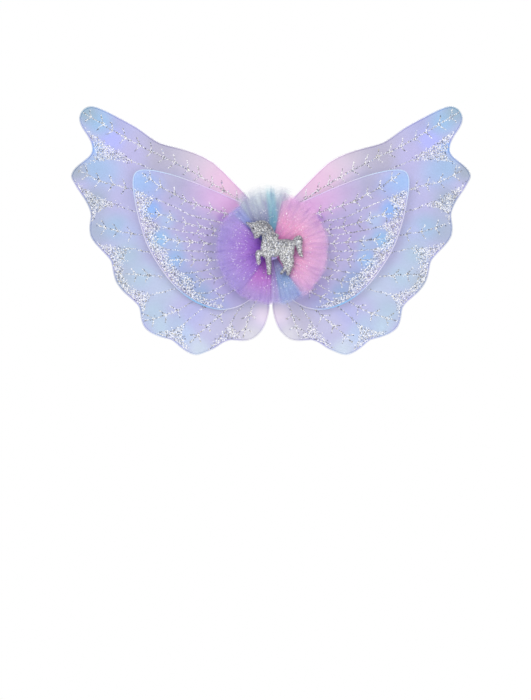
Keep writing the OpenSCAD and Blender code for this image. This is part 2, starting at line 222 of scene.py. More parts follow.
def fill_outline(polygon, spacing, seed=1):
    """Triangles that fill a 2D outline, with inner points on a loose grid. Returns points and triangles."""
    rng = np.random.default_rng(seed)
    low, high = polygon.min(0), polygon.max(0)
    xs = np.arange(low[0], high[0], spacing)
    zs = np.arange(low[1], high[1], spacing * 0.87)
    grid = np.array([(x + (k % 2) * spacing / 2, z) for k, z in enumerate(zs) for x in xs])
    grid += rng.uniform(-0.12, 0.12, grid.shape) * spacing
    grid = grid[inside_polygon(grid, polygon)]
    grid = grid[edge_distance(grid, polygon) > 0.45 * spacing]
    count = len(polygon)
    edges = [(i, (i + 1) % count) for i in range(count)]
    made = geometry.delaunay_2d_cdt([Vector(p) for p in (*polygon, *grid)], edges, [list(range(count))], 1, 1e-7)
    return np.array([tuple(v) for v in made[0]]), [tuple(f) for f in made[2]]


def ring_faces(rings, count, start=0, closed=False):
    """Quads between rings of that many points, which follow each other from a start index."""
    faces = []
    for k in range(rings if closed else rings - 1):
        a, b = start + k * count, start + (k + 1) % rings * count
        faces += [(a + i, a + (i + 1) % count, b + (i + 1) % count, b + i) for i in range(count)]
    return faces


def end_faces(rings, count):
    """The faces that close the first and the last ring."""
    return [tuple(range(count - 1, -1, -1)), tuple((rings - 1) * count + k for k in range(count))]


def circle(x, y, r, sides=40):
    return [(x + r * math.cos(TURN * k / sides), y + r * math.sin(TURN * k / sides)) for k in range(sides)]


def round_profile(radius, sides=10, flatten=1.0):
    """Points of a round or flattened section."""
    return [(a, flatten * b) for a, b in circle(0, 0, radius, sides)]


def corner_arcs(corners, radius, steps):
    """An outline with rounded corners, from the centres of their arcs in anticlockwise order."""
    out = []
    for start, (x, y) in enumerate(corners):
        for k in range(steps + 1):
            t = math.pi / 2 * (start + k / steps)
            out.append((x + radius * math.cos(t), y + radius * math.sin(t)))
    return out


def sweep(path, profile, closed=True, up=(0, -1, 0)):
    """Points and quads of a profile carried along a path. The profile's first axis points to the path's side,
    and its second along up. The profile may be a function of the path's index."""
    p = np.array(path, float)
    along = np.roll(p, -1, 0) - np.roll(p, 1, 0) if closed else np.gradient(p, axis=0)
    along /= np.linalg.norm(along, axis=1)[:, None]
    verts, ring = [], []
    for i in range(len(p)):
        side = np.cross(along[i], np.array(up, float))
        side /= np.linalg.norm(side)
        u = np.cross(side, along[i])
        ring = profile(i) if callable(profile) else profile
        verts += [p[i] + a * side + b * u for a, b in ring]
    faces = ring_faces(len(p), len(ring), closed=closed)
    return verts, faces if closed else faces + end_faces(len(p), len(ring))


def merge(parts):
    """The points and faces of several shapes as one shape."""
    verts, faces = [], []
    for more, shape in parts:
        base = len(verts)
        verts += list(more)
        faces += [tuple(base + i for i in f) for f in shape]
    return verts, faces


def plate_mesh(outline, y_front, y_back, bevel, steps=3):
    """A closed plate from an outline in XZ, with rounded edges front and back."""
    count = len(outline)
    turns = [math.pi / 2 * s / steps for s in range(steps + 1)]
    rows = [(bevel * (1 - math.sin(t)), y_front + bevel * (1 - math.cos(t))) for t in turns]
    rows += [(bevel * (1 - math.sin(t)), y_back - bevel * (1 - math.cos(t))) for t in turns[::-1]]
    inner = inward(outline)
    verts = [(p[0], y, p[1]) for inset, y in rows for p in outline + inner * inset]
    faces = ring_faces(len(rows), count)
    for base, y, order in ((0, y_front, -1), ((len(rows) - 1) * count, y_back, 1)):
        ring = np.array([(verts[base + i][0], verts[base + i][2]) for i in range(count)])
        points, triangles = fill_outline(ring, max(1.2 * MM, np.ptp(ring[:, 0]) / 24))
        more = len(verts) - count
        verts += [(p[0], y, p[1]) for p in points[count:]]
        faces += [tuple(base + i if i < count else more + i for i in t)[::order] for t in triangles]
    return verts, faces


def stitch_mesh(pairs, radius=0.22 * MM, arch=0.18 * MM, out=(0, -1, 0)):
    """Points and faces of a set of stitches, each a short thread between two points that arches outward."""
    lift = np.array(out, float)
    parts = []
    for a, b in pairs:
        a, b = np.array(a, float), np.array(b, float)
        path = [a + (b - a) * t + lift * arch * math.sin(math.pi * t) for t in np.linspace(0, 1, 6)]
        parts.append(sweep(path, lambda i: round_profile(radius * (0.55 if i in (0, 5) else 1.0), 6),
                           closed=False, up=out))
    return merge(parts)


# ---------------------------------------------------------------- materials

def linear(code):
    """A colour from its hexadecimal sRGB code, as the linear values that a shader takes."""
    values = [int(code[i:i + 2], 16) / 255 for i in (0, 2, 4)]
    return tuple(v / 12.92 if v <= 0.04045 else ((v + 0.055) / 1.055) ** 2.4 for v in values)


def rgb(value):
    """Linear values of a colour that is given as its code, as a grey or as the values themselves."""
    if isinstance(value, str):
        return linear(value)
    return (value,) * 3 if isinstance(value, (int, float)) else value


def darker(colour, share):
    return tuple(c * share for c in rgb(colour))


class Shader:
    """A Principled material and short ways to feed it. A colour is its sRGB code or its linear values."""

    def __init__(self, name, colour, **values):
        self.material = bpy.data.materials.new(name)
        self.material.use_nodes = True
        self.tree = self.material.node_tree
        self.main = self.tree.nodes["Principled BSDF"]
        self.put(self.main.inputs["Base Color"], rgb(colour))
        for key, value in values.items():
            self.main.inputs[key.replace("_", " ")].default_value = value
        self.material.diffuse_color = (*rgb(colour), 1)

    def put(self, socket, value):
        """A number, a colour or another node's output, into a socket."""
        if isinstance(value, (int, float)):
            socket.default_value = value
        elif isinstance(value, (str, tuple)):
            socket.default_value = (*rgb(value), 1)
        else:
            self.tree.links.new(value, socket)

    def node(self, kind, inputs=(), **settings):
        n = self.tree.nodes.new(kind)
        for key, value in settings.items():
            setattr(n, key, value)
        for key, value in dict(inputs).items():
            self.put(n.inputs[key], value)
        return n

    def feed(self, socket, source):
        self.put(self.main.inputs[socket], source)

    def place(self):
        """Coordinates in the part's frame, in metres."""
        return self.node("ShaderNodeTexCoord").outputs["Object"]

    def axes(self):
        return self.node("ShaderNodeSeparateXYZ", {0: self.place()}).outputs

    def math(self, operation, *values, clamp=False):
        return self.node("ShaderNodeMath", enumerate(values), operation=operation, use_clamp=clamp).outputs[0]

    def vector(self, operation, source, inputs=()):
        return self.node("ShaderNodeVectorMath", {0: source, **dict(inputs)}, operation=operation)

    def join(self, x, y, z):
        return self.node("ShaderNodeCombineXYZ", enumerate((x, y, z))).outputs[0]

    def noise(self, scale, vector=None, detail=3.0, roughness=0.55):
        return self.node("ShaderNodeTexNoise", {"Scale": scale, "Detail": detail, "Roughness": roughness,
                                                "Vector": vector or self.place()}).outputs["Fac"]

    def cells(self, scale, **settings):
        return self.node("ShaderNodeTexVoronoi", {"Scale": scale, "Vector": self.place()}, **settings).outputs

    def ramp(self, factor, *stops):
        """The colour at a factor between stops, each a place and a colour."""
        n = self.node("ShaderNodeValToRGB", {0: factor})
        elements = n.color_ramp.elements
        while len(elements) < len(stops):
            elements.new(0.5)
        for element, (at, colour) in zip(elements, stops):
            element.position = at
            element.color = (*rgb(colour), 1)
        return n.outputs[0]

    def ease(self, value, start, end, first=0.0, last=1.0, kind="SMOOTHSTEP"):
        """Goes softly from first to last as the value goes from start to end."""
        return self.node("ShaderNodeMapRange", {"Value": value, "From Min": start, "From Max": end, "To Min": first,
                                                "To Max": last}, interpolation_type=kind).outputs[0]

    def mix(self, factor, a, b, blend="MIX"):
        return self.node("ShaderNodeMix", {0: factor, 6: a, 7: b}, data_type="RGBA", blend_type=blend).outputs[2]

    def times(self, product, *colours):
        for colour in colours:
            product = self.mix(1.0, product, colour, "MULTIPLY")
        return product

    def bump(self, height, strength, distance):
        self.feed("Normal", self.node("ShaderNodeBump", {"Strength": strength, "Distance": distance,
                                                         "Height": height}).outputs[0])

    def weave(self, pitch):
        """Height of a plain weave of that pitch in XZ, from 0 to 1."""
        axes = self.axes()
        a, b = (self.math("SINE", self.math("MULTIPLY", axes[k], TURN / pitch)) for k in (0, 2))
        return self.math("MULTIPLY_ADD", self.math("MULTIPLY", a, b), 0.5, 0.5)

    def spots(self, base, spots):
        """A colour that starts as base and turns towards each spot's colour near it.
        A spot is its distance from the centre line, its height, its reach (all in mm) and its colour."""
        axes = self.axes()
        place = self.join(self.math("ABSOLUTE", axes[0]), 0.0, axes[2])
        for x, z, reach, tint in spots:
            far = self.vector("DISTANCE", place)
            far.inputs[1].default_value = (x * MM, 0, z * MM)
            near = self.ease(far.outputs["Value"], reach * MM, 0, kind="SMOOTHERSTEP")
            base = self.mix(near, base, tint)
        return base


# ---------------------------------------------------------------- camera, light and floor

CAMERA_DISTANCE, VIEW_HEIGHT = 3.0, 0.819
FLOOR_Z, FLOOR_REACH = -0.78, 1.7


def set_stage():
    """A pale floor, soft light, and a level camera far in front, as the photograph was taken."""
    scene = bpy.context.scene
    scene.view_settings.view_transform = "Standard"
    scene.cycles.transparent_max_bounces = 48
    camera = bpy.data.objects.new("camera", bpy.data.cameras.new("camera"))
    scene.collection.objects.link(camera)
    camera.data.lens = camera.data.sensor_width * CAMERA_DISTANCE / VIEW_HEIGHT
    camera.location = (-0.0064, -CAMERA_DISTANCE - 0.015, -0.117)
    camera.rotation_euler = (math.radians(90), 0, 0)
    camera.data.clip_end = 50
    scene.camera = camera

    # The background is white where the camera sees it, and lights the object less than that
    world = bpy.data.worlds.new("studio")
    world.use_nodes = True
    scene.world = world
    nodes, links = world.node_tree.nodes, world.node_tree.links
    mix = nodes.new("ShaderNodeMixShader")
    links.new(nodes.new("ShaderNodeLightPath").outputs["Is Camera Ray"], mix.inputs[0])
    for k, (light, strength) in enumerate(((nodes["Background"], 0.6), (nodes.new("ShaderNodeBackground"), 1.0))):
        light.inputs["Color"].default_value = (1, 1, 1, 1)
        light.inputs["Strength"].default_value = strength
        links.new(light.outputs[0], mix.inputs[k + 1])
    links.new(mix.outputs[0], nodes["World Output"].inputs[0])

    for name, place, size, watts in (("key", (-0.8, -2.1, 1.1), 1.5, 22), ("fill", (1.1, -2.1, -0.1), 1.6, 13),
                                     ("back", (0.5, 2.1, 1.2), 1.6, 26)):
        data = bpy.data.lights.new(name, "AREA")
        data.size, data.energy = size, watts
        obj = bpy.data.objects.new(name, data)
        obj.location = place
        obj.rotation_mode = "QUATERNION"
        obj.rotation_quaternion = (-Vector(place)).to_track_quat("-Z", "Y")
        scene.collection.objects.link(obj)

    s = Shader("floor_paint", (0.96, 0.96, 0.97), Roughness=0.9)
    s.bump(s.noise(60), 0.05, 0.001)
    corners = [(x, y, FLOOR_Z) for x, y in circle(0, 0, FLOOR_REACH, 96)]
    make_object("floor", corners, [tuple(range(96))], [s.material], smooth=False)


# ---------------------------------------------------------------- wings

# What each size of wing looks like. Places are the distance out from the centre line and the height, in mm.
# dye, spots: colour of the nylon, and its spots as place, reach and colour
# pale, edge: how far the hem is paled towards white, for the wire's white coating and, on the large wing, as painted
# light that evens out the shading of the rounded hem; and the hem's spots, which on the large wing paint light near
# the root
# stems, seams: printed veins that carry twigs, from the rim inward, and plain lines between the printed cells
# twigs: each twig's angle from its stem in degrees and its length in mm
# patches: outlines of the dense glitter
LOOKS = {
    "large": {
        "dye": "A3A2D8",
        "spots": [
            (125, 112, 58, "9E98B8"), (94, 112, 34, "AFA6C0"), (72, 96, 46, "CFB8D2"), (48, 76, 56, "E2AFD6"),
            (164, 112, 34, "A5A0DA"), (180, 142, 30, "9297D2"), (187, 128, 24, "959DF4"), (202, 151, 30, "74AADC"),
            (216, 162, 25, "6E98B6"), (205, 119, 16, "78A8EC"), (196, 92, 36, "88A8DC"), (208, 97, 26, "7CA4D4"),
            (228, 92, 22, "7E90AC"), (206, 58, 28, "8296B8"), (202, 24, 36, "8799BC"), (180, 26, 28, "82A8D2"),
            (164, 20, 22, "9AA8DC"), (168, -6, 32, "92AFCE"), (172, -36, 28, "94A4BE"), (150, -32, 32, "98B6D4"),
            (126, -46, 34, "A5B6D9"), (138, -72, 30, "98B4D2"), (128, -90, 24, "A4C0DC"), (108, -88, 26, "99B0D8"),
            (90, -76, 24, "9A9EDA"), (100, -102, 22, "A3BAE4"), (84, -116, 26, "B8C8DE"), (66, -92, 30, "A8A8D2"),
            (32, -86, 40, "A6A1C2"), (20, -102, 28, "CAC8D6"), (8, -76, 24, "E2D2EA"), (22, 36, 32, "EBA8D4"),
            (74, 30, 40, "C2ABDC"), (114, 46, 34, "AFB2E2"), (104, -4, 38, "A3B4E2"), (58, -22, 36, "B7ABDA"),
        ],
        "pale": 0.44,
        # Near white by the root: painted light that evens out the rounded hem's shading there
        "edge": [(50, 76, 95, "FBF4FF")],
        "stems": [
            [(220, 161), (195, 146), (153, 122), (108, 100), (72, 80), (32, 55)],
            [(224, 93), (200, 81), (173, 74), (150, 66)],
            [(204, 30), (190, 25), (173, 21), (146, 17)],
            [(170, -28), (126, -31)],
            [(148, -83), (133, -79), (115, -73), (92, -61)],
            [(95, -108), (75, -90), (52, -70)],
            [(33, -102), (30, -94), (23, -70), (16, -58)],
        ],
        "twigs": [(47, 10.5), (-70, 9)],
        "seams": [
            [(160, 103), (139, 94), (118, 82)],
            [(177, 51), (150, 42)],
            [(165, 2), (136, -4)],
            [(139, -52), (122, -48), (106, -43)],
            [(101, -86), (90, -76), (70, -60)],
            [(47, -85), (41, -75), (30, -60)],
        ],
        "patches": [
            [(217, 141), (205, 133), (193, 125), (160, 103), (189, 106), (211, 103), (222, 96), (208, 106),
             (204, 113), (208, 126)],
            [(230, 80), (202, 62), (177, 52), (193, 50), (204, 44), (210, 32), (211, 42), (217, 59)],
            [(205, 8), (184, 4), (165, 2), (171, -7), (174, -18), (173, -32), (165, -43), (151, -50), (139, -52),
             (146, -61), (148, -72), (150, -80), (152, -77), (154, -66), (161, -58), (172, -48), (181, -36),
             (185, -24), (187, -13), (195, -4)],
            [(137, -98), (115, -93), (101, -86), (104, -97), (101, -108), (96, -119), (108, -111), (116, -104),
             (127, -101)],
            [(74, -117), (47, -85), (35, -104), (47, -104), (57, -108)],
        ],
    },
    "small": {
        "dye": "B7B2DC",
        "spots": [
            (110, 80, 36, "B2B0D0"), (84, 68, 34, "C4B2DA"), (62, 58, 38, "E0B8E6"), (42, 46, 36, "E6B0E4"),
            (142, 74, 30, "A9BDEE"), (154, 80, 26, "9FC2F2"), (139, 46, 20, "8EBAF8"), (122, 34, 18, "B0C3E8"),
            (129, 12, 22, "94C0EA"), (110, 6, 18, "AABDE2"), (80, 20, 42, "B4A8D8"), (112, -12, 22, "98BCEA"),
            (98, -34, 24, "94AAD6"), (82, -52, 26, "98B0D8"), (60, -62, 26, "A4AEDC"), (46, -40, 36, "B8AEE2"),
            # The last spot is a painted shadow of the rosette: darker violet on the nylon by the wing's root
            (57, 37, 10, "B48AD6"),
        ],
        "pale": 0.36,
        "edge": [(64, 64, 56, "DCC8F0"), (142, 86, 60, "C2D8F8"), (86, -64, 46, "80C2F2")],
        "stems": [
            [(151, 89), (127, 72), (113, 65), (97, 56), (68, 47), (40, 38)],
            [(142, 42), (126, 40), (108, 33), (75, 25), (58, 22)],
            [(133, 13), (104, 10), (60, 6)],
            [(117, -12), (58, -12)],
            [(92, -38), (81, -36), (50, -30)],
            [(68, -59), (50, -51), (38, -44)],
        ],
        "twigs": [(46, 9), (-64, 8)],
        "seams": [
            [(137, 60), (113, 50), (90, 39), (54, 31)],
            [(128, 27), (101, 21), (58, 15)],
            [(122, 0), (58, -3)],
            [(104, -28), (86, -26), (54, -19)],
            [(90, -50), (72, -50), (48, -36)],
        ],
        "patches": [
            [(160, 71), (137, 60), (144, 47), (139, 33), (128, 27), (135, 20), (133, 9), (122, 0), (119, -9),
             (113, -18), (104, -28), (92, -34), (90, -50), (54, -67), (60, -69), (77, -65), (95, -56), (113, -41),
             (131, -18), (144, 6), (153, 33), (158, 56)],
        ],
    },
}
CAD_FABRIC_THICKNESS = 0.5 * MM
FABRIC_COVER = 0.80
FABRIC_WEAVE = 0.45 * MM
FABRIC_TRIANGLE = 3.2 * MM
# Heights between which a wing's outline runs straight along its root wire, and how near to it
ROOT_LOW, ROOT_HIGH, ROOT_NEAR = -44 * MM, 37 * MM, 4 * MM
RIM_STEP = 1.3 * MM
HEM_RADIUS, WIRE_RADIUS = 1.16 * MM, 0.9 * MM
# The stretched nylon stands away from flat from this far inside its edge on
BILLOW_REACH = 9 * MM


def sheer_fabric(name, look):
    s = Shader(name, look["dye"], Roughness=0.42, Alpha=FABRIC_COVER, Sheen_Weight=0.35, Sheen_Roughness=0.4,
               Specular_IOR_Level=0.4)
    dye = s.spots(rgb(look["dye"]), look["spots"])
    s.feed("Base Color", s.times(dye, s.ramp(s.noise(38, detail=4), (0.3, (0.93, 0.93, 0.96)),
                                             (0.7, (1.05, 1.04, 1.05)))))
    s.bump(s.weave(FABRIC_WEAVE), 0.25, 0.0001)
    return s.material


def hem_fabric(name, look):
    """The rolled edge of the nylon, several layers thick, over the white-coated wire."""
    s = Shader(name, look["dye"], Roughness=0.35, Sheen_Weight=0.3, Coat_Weight=0.2, Coat_Roughness=0.3)
    # Paled towards white for the wire's coating and, on the large wing, as painted light against the hem's own
    # shading; the large wing's near-white spot by the root is painted light too
    dye = s.mix(look["pale"], s.spots(rgb(look["dye"]), look["spots"]), rgb(1.0))
    s.feed("Base Color", s.spots(dye, look["edge"]))
    s.bump(s.noise(900, detail=2), 0.3, 0.0002)
    return s.material


def wire_material():
    """White-blue coating, rubbed here and there."""
    s = Shader("coated_wire", "C4D6F2", Roughness=0.32, Coat_Weight=0.5, Coat_Roughness=0.15)
    s.feed("Base Color", s.ramp(s.noise(120, detail=5), (0.35, "B4C6E8"), (0.6, "CBDCF6"), (0.8, "D8E4F8")))
    s.bump(s.noise(900), 0.1, 0.0001)
    return s.material


class Wing:
    """One wing: its side, its body, its plane and its outline in that plane.

    A place on it is u, the distance outward from the centre line, z, the height, and how far it stands in
    front of the fabric's middle."""

    def __init__(self, size, side):
        self.size, self.side, self.sign = size, side, SIDES[side]
        self.look = LOOKS[size]
        self.body = f"{size}_wing_{side}"
        self.frame_node = f"{size}_frame_{side}"
        self.fabric_node = f"{size}_fabric_{side}"
        joint = JOINTS[f"large_wing_{side}_bend" if size == "large" else f"small_wing_{side}_open"]
        self.root = Vector((abs(joint["pos_m"][0]), joint["pos_m"][1]))
        normal = main_normal(self.fabric_node)
        self.turn = math.asin(abs(normal.x))
        flat = np.array([self.to_plane(p) for p in face_loop(self.fabric_node, normal)])
        self.depth = float(flat[:, 2].mean()) - CAD_FABRIC_THICKNESS / 2
        self.cut = flat[:, :2]
        u, z = self.cut.T
        straight = (u < self.root.x + ROOT_NEAR) & (z > ROOT_LOW) & (z < ROOT_HIGH)
        self.rim = self.start_at_root(self.cut[~straight])
        self.front = Vector(self.to_frame(0.1, 0, 1)) - Vector(self.to_frame(0.1, 0, 0))

    def start_at_root(self, outline):
        """The rim from the top of the root round to its foot, going outward first."""
        if anticlockwise(outline):
            outline = outline[::-1]
        gaps = np.linalg.norm(np.roll(outline, -1, 0) - outline, axis=1)
        return np.roll(outline, -(int(gaps.argmax()) + 1), axis=0)

    def to_plane(self, p):
        """A point in the frame as u, z and the distance in front of the root wire."""
        dx, dy = p[0] * self.sign - self.root.x, p[1] - self.root.y
        c, s = math.cos(self.turn), math.sin(self.turn)
        return (self.root.x + dx * c - dy * s, p[2], -(dx * s + dy * c))

    def to_frame(self, u, z, front=0.0):
        """The point at u and z, that far in front of the fabric's middle."""
        du, forward = u - self.root.x, self.depth + front
        c, s = math.cos(self.turn), math.sin(self.turn)
        return (self.sign * (self.root.x + du * c - forward * s), self.root.y - du * s - forward * c, z)

    def billow(self, u, z, edge):
        """How far the stretched fabric stands forward of flat, away from its edge."""
        du, dz = (u - self.root.x) / MM, z / MM
        angle = math.atan2(dz, du + 30)
        pull = 0.35 * math.sin(17 * angle + 1.3) + 0.25 * math.sin(31 * angle)
        soft = noise.noise(Vector((u * 18, z * 18, self.sign + 3)))
        away = min(1.0, edge / BILLOW_REACH)
        return (pull * math.exp(-du / 90) + 0.5 * soft) * away * MM


def build_fabric(wing, material):
    """The sheer sheet, filled with small triangles so that it can billow."""
    points, triangles = fill_outline(wing.cut, FABRIC_TRIANGLE, seed=3)
    verts = [wing.to_frame(u, z, wing.billow(u, z, e)) for (u, z), e in zip(points, edge_distance(points, wing.cut))]
    shape = verts, [t[::wing.sign] for t in triangles]
    obj = add_piece(f"{wing.size}_nylon_{wing.side}", shape, material, wing.body,
                    [wing.fabric_node], recalculate=False)


def build_rim(wing, hem, coating):
    """The nylon rolled round the wire, slightly uneven and gathered, and the round coated wire inside it, closed
    by the straight run that the loops hold."""
    rim = resample(smooth_curve(wing.rim, 3), RIM_STEP)

    def section(i):
        gather = 1 + 0.035 * math.sin(i * 2.1) + 0.05 * noise.noise(Vector((i * 0.35, 0, wing.sign)))
        return round_profile(HEM_RADIUS * gather, 10, 0.98)

    straight = np.arange(rim[-1][1] + 2 * MM, rim[0][1] - 1.9 * MM, RIM_STEP)
    loop = np.vstack([rim, [(wing.root.x, z) for z in straight]])
    for name, path, profile, closed, material, slot, nodes in (
            ("wire", loop, round_profile(WIRE_RADIUS, 14), True, coating, "wire", [wing.frame_node]),
            ("hem", rim, section, False, hem, f"{wing.size}_wing_fabric", ())):
        shape = sweep([wing.to_frame(u, z, -wing.depth) for u, z in path], profile, closed, wing.front)
        add_piece(f"{wing.size}_{name}_{wing.side}", shape, material, wing.body, nodes, recalculate=closed)


# ---------------------------------------------------------------- glitter

# Foil and plastic glitter: name, colour and how metallic it is. The white and the near-black tint, and in part the
# silver and the grey, are painted glints and painted dark reflections of the silver foil flakes; straw and cool are
# tinted glitter
GLITTER_TINTS = [
    ("bright", (1.0, 1.0, 1.0), 0.15), ("silver", (0.60, 0.61, 0.65), 0.3), ("grey", (0.25, 0.255, 0.29), 0.3),
    ("dark", (0.09, 0.09, 0.12), 0.3), ("straw", (0.55, 0.51, 0.37), 0.3), ("cool", (0.42, 0.50, 0.74), 0.3),
]
TINTS = range(len(GLITTER_TINTS))
# How often each tint is met: in a wing's lines and patches, and on the unicorn where it is painted as lit and where it
# is painted in shade
LINE_SHARES = (0.44, 0.15, 0.19, 0.09, 0.07, 0.06)
PATCH_SHARES = (0.55, 0.13, 0.15, 0.05, 0.06, 0.06)
LIT_SHARES = (0.44, 0.14, 0.17, 0.19, 0.04, 0.02)
SHADED_SHARES = (0.07, 0.05, 0.22, 0.61, 0.03, 0.02)
# A flake's lean out of its surface and its height, as shares of its size
FLAKE_LEAN, FLAKE_HEIGHT = 0.28, 0.22
# Sizes of a flake in mm on the wings, the tulle and the unicorn
WING_FLAKE, TULLE_FLAKE, UNICORN_FLAKE = (1.15, 1.85), (0.8, 1.4), (1.0, 1.5)
# Printed lines, in mm: how often a flake has a stray one by it, how far off, and how far twigs' flakes scatter
STRAY_CHANCE, STRAY_SPREAD, TWIG_SPREAD, FORK_SPREAD = 0.32, 0.9, 0.38, 1.0
TWIG_GAP, FLAKES_AT_FORK = 16, 6
# How far the glitter keeps from the rim and stands on the nylon
RIM_CLEARANCE, FLAKE_LIFT = 0.6 * MM, 0.12 * MM


class Glitter:
    """Collects flakes and makes them one piece. A flake is a low four-sided chip, a closed solid."""

    CHIP = ((0, 1, 4), (1, 2, 4), (2, 3, 4), (3, 0, 4), (3, 2, 1, 0))

    def __init__(self, seed):
        self.random = random.Random(seed)
        self.verts, self.faces, self.slots = [], [], []

    def add(self, centre, normal, size, slot):
        r = self.random
        n = Vector(normal).normalized()
        side = n.orthogonal().normalized()
        turn = r.uniform(0, math.pi)
        a = math.cos(turn) * side + math.sin(turn) * n.cross(side)
        lean = Vector((r.uniform(-1, 1), r.uniform(-1, 1), r.uniform(-1, 1))) * FLAKE_LEAN
        n = (n + lean).normalized()
        a = (a - a.dot(n) * n).normalized() * size / 2
        b = n.cross(a) * r.uniform(0.6, 1.0)
        c = Vector(centre)
        start = len(self.verts)
        self.verts += [c + a, c + b, c - a, c - b, c + n * size * FLAKE_HEIGHT + a * r.uniform(-0.3, 0.3)]
        self.faces += [tuple(start + i for i in face) for face in self.CHIP]
        self.slots += [slot] * len(self.CHIP)

    def make(self, name, materials, body):
        obj = make_object(name, self.verts, self.faces, materials, smooth=False, face_slots=self.slots)
        return place_piece(obj, body)


def vein_places(points, rng, spacing=1.0, spread=0.42):
    """Places along a printed line, in mm, a little scattered to its sides."""
    out = []
    for p in resample(smooth_curve(points, 8), spacing):
        out.append((p[0] + rng.gauss(0, spread), p[1] + rng.gauss(0, spread)))
        if rng.random() < STRAY_CHANCE:
            out.append((p[0] + rng.gauss(0, STRAY_SPREAD), p[1] + rng.gauss(0, STRAY_SPREAD)))
    return out


def twig_places(points, rng, arms):
    """Pairs of straight twigs along a stem, which lean towards its outer end. An arm is its angle from the stem,
    in degrees, and its length in mm."""
    line = resample(smooth_curve(points, 8), 1.0)
    out = []
    at = rng.uniform(11, 14)
    while at < len(line) - 7:
        p, q = line[int(at)], line[int(at) + 1]
        outward = (p - q) / np.linalg.norm(p - q)
        for angle, length in arms:
            lean = math.radians(angle + rng.uniform(-7, 7))
            length *= rng.uniform(0.88, 1.1)
            d = np.array([outward[0] * math.cos(lean) - outward[1] * math.sin(lean),
                          outward[0] * math.sin(lean) + outward[1] * math.cos(lean)])
            steps = int(length / 0.8)
            for k in range(steps):
                s = p + d * length * (k + 1) / steps
                out.append((s[0] + rng.gauss(0, TWIG_SPREAD), s[1] + rng.gauss(0, TWIG_SPREAD)))
        out += [(p[0] + rng.gauss(0, FORK_SPREAD), p[1] + rng.gauss(0, FORK_SPREAD)) for _ in range(FLAKES_AT_FORK)]
        at += TWIG_GAP * rng.uniform(0.82, 1.18)
    return out


def patch_places(polygon, rng, outline, gap=1.2, margin=4):
    """Places in mm that fill a patch with uneven dense glitter, with a thin scatter round it."""
    shape = np.array(polygon, float)
    grid = scatter(shape.min(0) - margin, shape.max(0) + margin, gap, rng)
    out = []
    for p, held, e, ok, to_rim in zip(grid, inside_polygon(grid, shape), edge_distance(grid, shape),
                                      inside_polygon(grid, outline), edge_distance(grid, outline)):
        chance = (0.75 if e < 1.2 else 0.95) if held else math.exp(-e / 0.9) * 0.4
        if ok and to_rim > 0.9 and rng.random() < chance:
            out.append(tuple(p))
    return out


def build_wing_glitter(wing, materials, seed):
    rng = random.Random(seed)
    glitter = Glitter(seed + 50)
    places = []
    for stem in wing.look["stems"]:
        places += vein_places(stem, rng)
        places += twig_places(stem, rng, wing.look["twigs"])
    for seam in wing.look["seams"]:
        places += vein_places(seam, rng, 1.25, 0.3)
    lines = len(places)
    for patch in wing.look["patches"]:
        places += patch_places(patch, rng, wing.cut / MM)
    spots = np.array(places) * MM
    inside, edge = inside_polygon(spots, wing.cut), edge_distance(spots, wing.cut)
    for k, ((u, z), ok, e) in enumerate(zip(spots, inside, edge)):
        if ok and e > RIM_CLEARANCE:
            size = rng.uniform(*WING_FLAKE) * MM
            place = wing.to_frame(u, z, wing.billow(u, z, e) + FLAKE_LIFT)
            glitter.add(place, wing.front, size, rng.choices(TINTS, LINE_SHARES if k < lines else PATCH_SHARES)[0])
    glitter.make(f"{wing.size}_glitter_{wing.side}", materials, wing.body)


def build_wings(flakes):
    cloths = {size: (sheer_fabric(f"{size}_nylon", look), hem_fabric(f"{size}_hem", look))
              for size, look in LOOKS.items()}
    coating = wire_material()
    for side in SIDES:
        for size, (cloth, hem) in cloths.items():
            wing = Wing(size, side)
            build_rim(wing, hem, coating)
            build_fabric(wing, cloth)
            build_wing_glitter(wing, flakes, seed=11 + 7 * (size == "small") + SIDES[side])


# ---------------------------------------------------------------- rosette

SEAT_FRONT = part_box("rosette_seat")[0].y
CORE_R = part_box("rosette_core")[1].x
CORE_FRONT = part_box("rosette_core")[0].y
RIM_R = 61 * MM
FLARE = 0.375
RUFFLE = 1.2 * MM
RUFFLE_PITCH = math.radians(12)
GATHER_DEPTH = 0.75 * MM
FIRST_LAYER, LAYER_GAP = 0.75 * MM, 0.5 * MM
# Each fan's colours from the knot to the rim, the inner ones lightened in part as painted light against the shade that
# the unicorn casts near the knot, and how many mm it lies behind the foremost, so that neighbours never share a depth
FANS = {
    "tulle_pink": (("FFB0EA", "FFBCE2", "EDC0E6"), 0.0),
    "tulle_aqua": (("80BCDC", "8AC0D2", "AAD4DE"), 0.12),
    "tulle_sky": (("8494DE", "9AACE6", "B4BEEA"), 0.24),
    "tulle_purple": (("B876E6", "BE96E8", "BEACEA"), 0.0),
    "tulle_orchid": (("BC66D8", "D08AE0", "C6AAE6"), 0.12),
    "tulle_lilac": (("CCACEA", "BCAAE0", "C4B8E8"), 0.24),
    "tulle_blue": (("C0B6E4", "9CBAE2", "AEC2EA"), 0.12),
}
# The fans whose gathers are deepened by painted shade into dark creases near the knot
CREASE_SHADED = ("tulle_purple", "tulle_orchid", "tulle_lilac")
# The aqua tulle is a narrow strip; the rest of its fan is a haze of the paler nets beside it
HAZY = "tulle_aqua"
HAZE = ("8FB0D6", "B4BCD4", "C6D2DC")
# The strip's middle at the centre's height, its lean, and its half width where it starts and ends to pale
STRIP_X, STRIP_LEAN, STRIP_HALF = 7.0 * MM, 0.12, (2.6 * MM, 7.6 * MM)
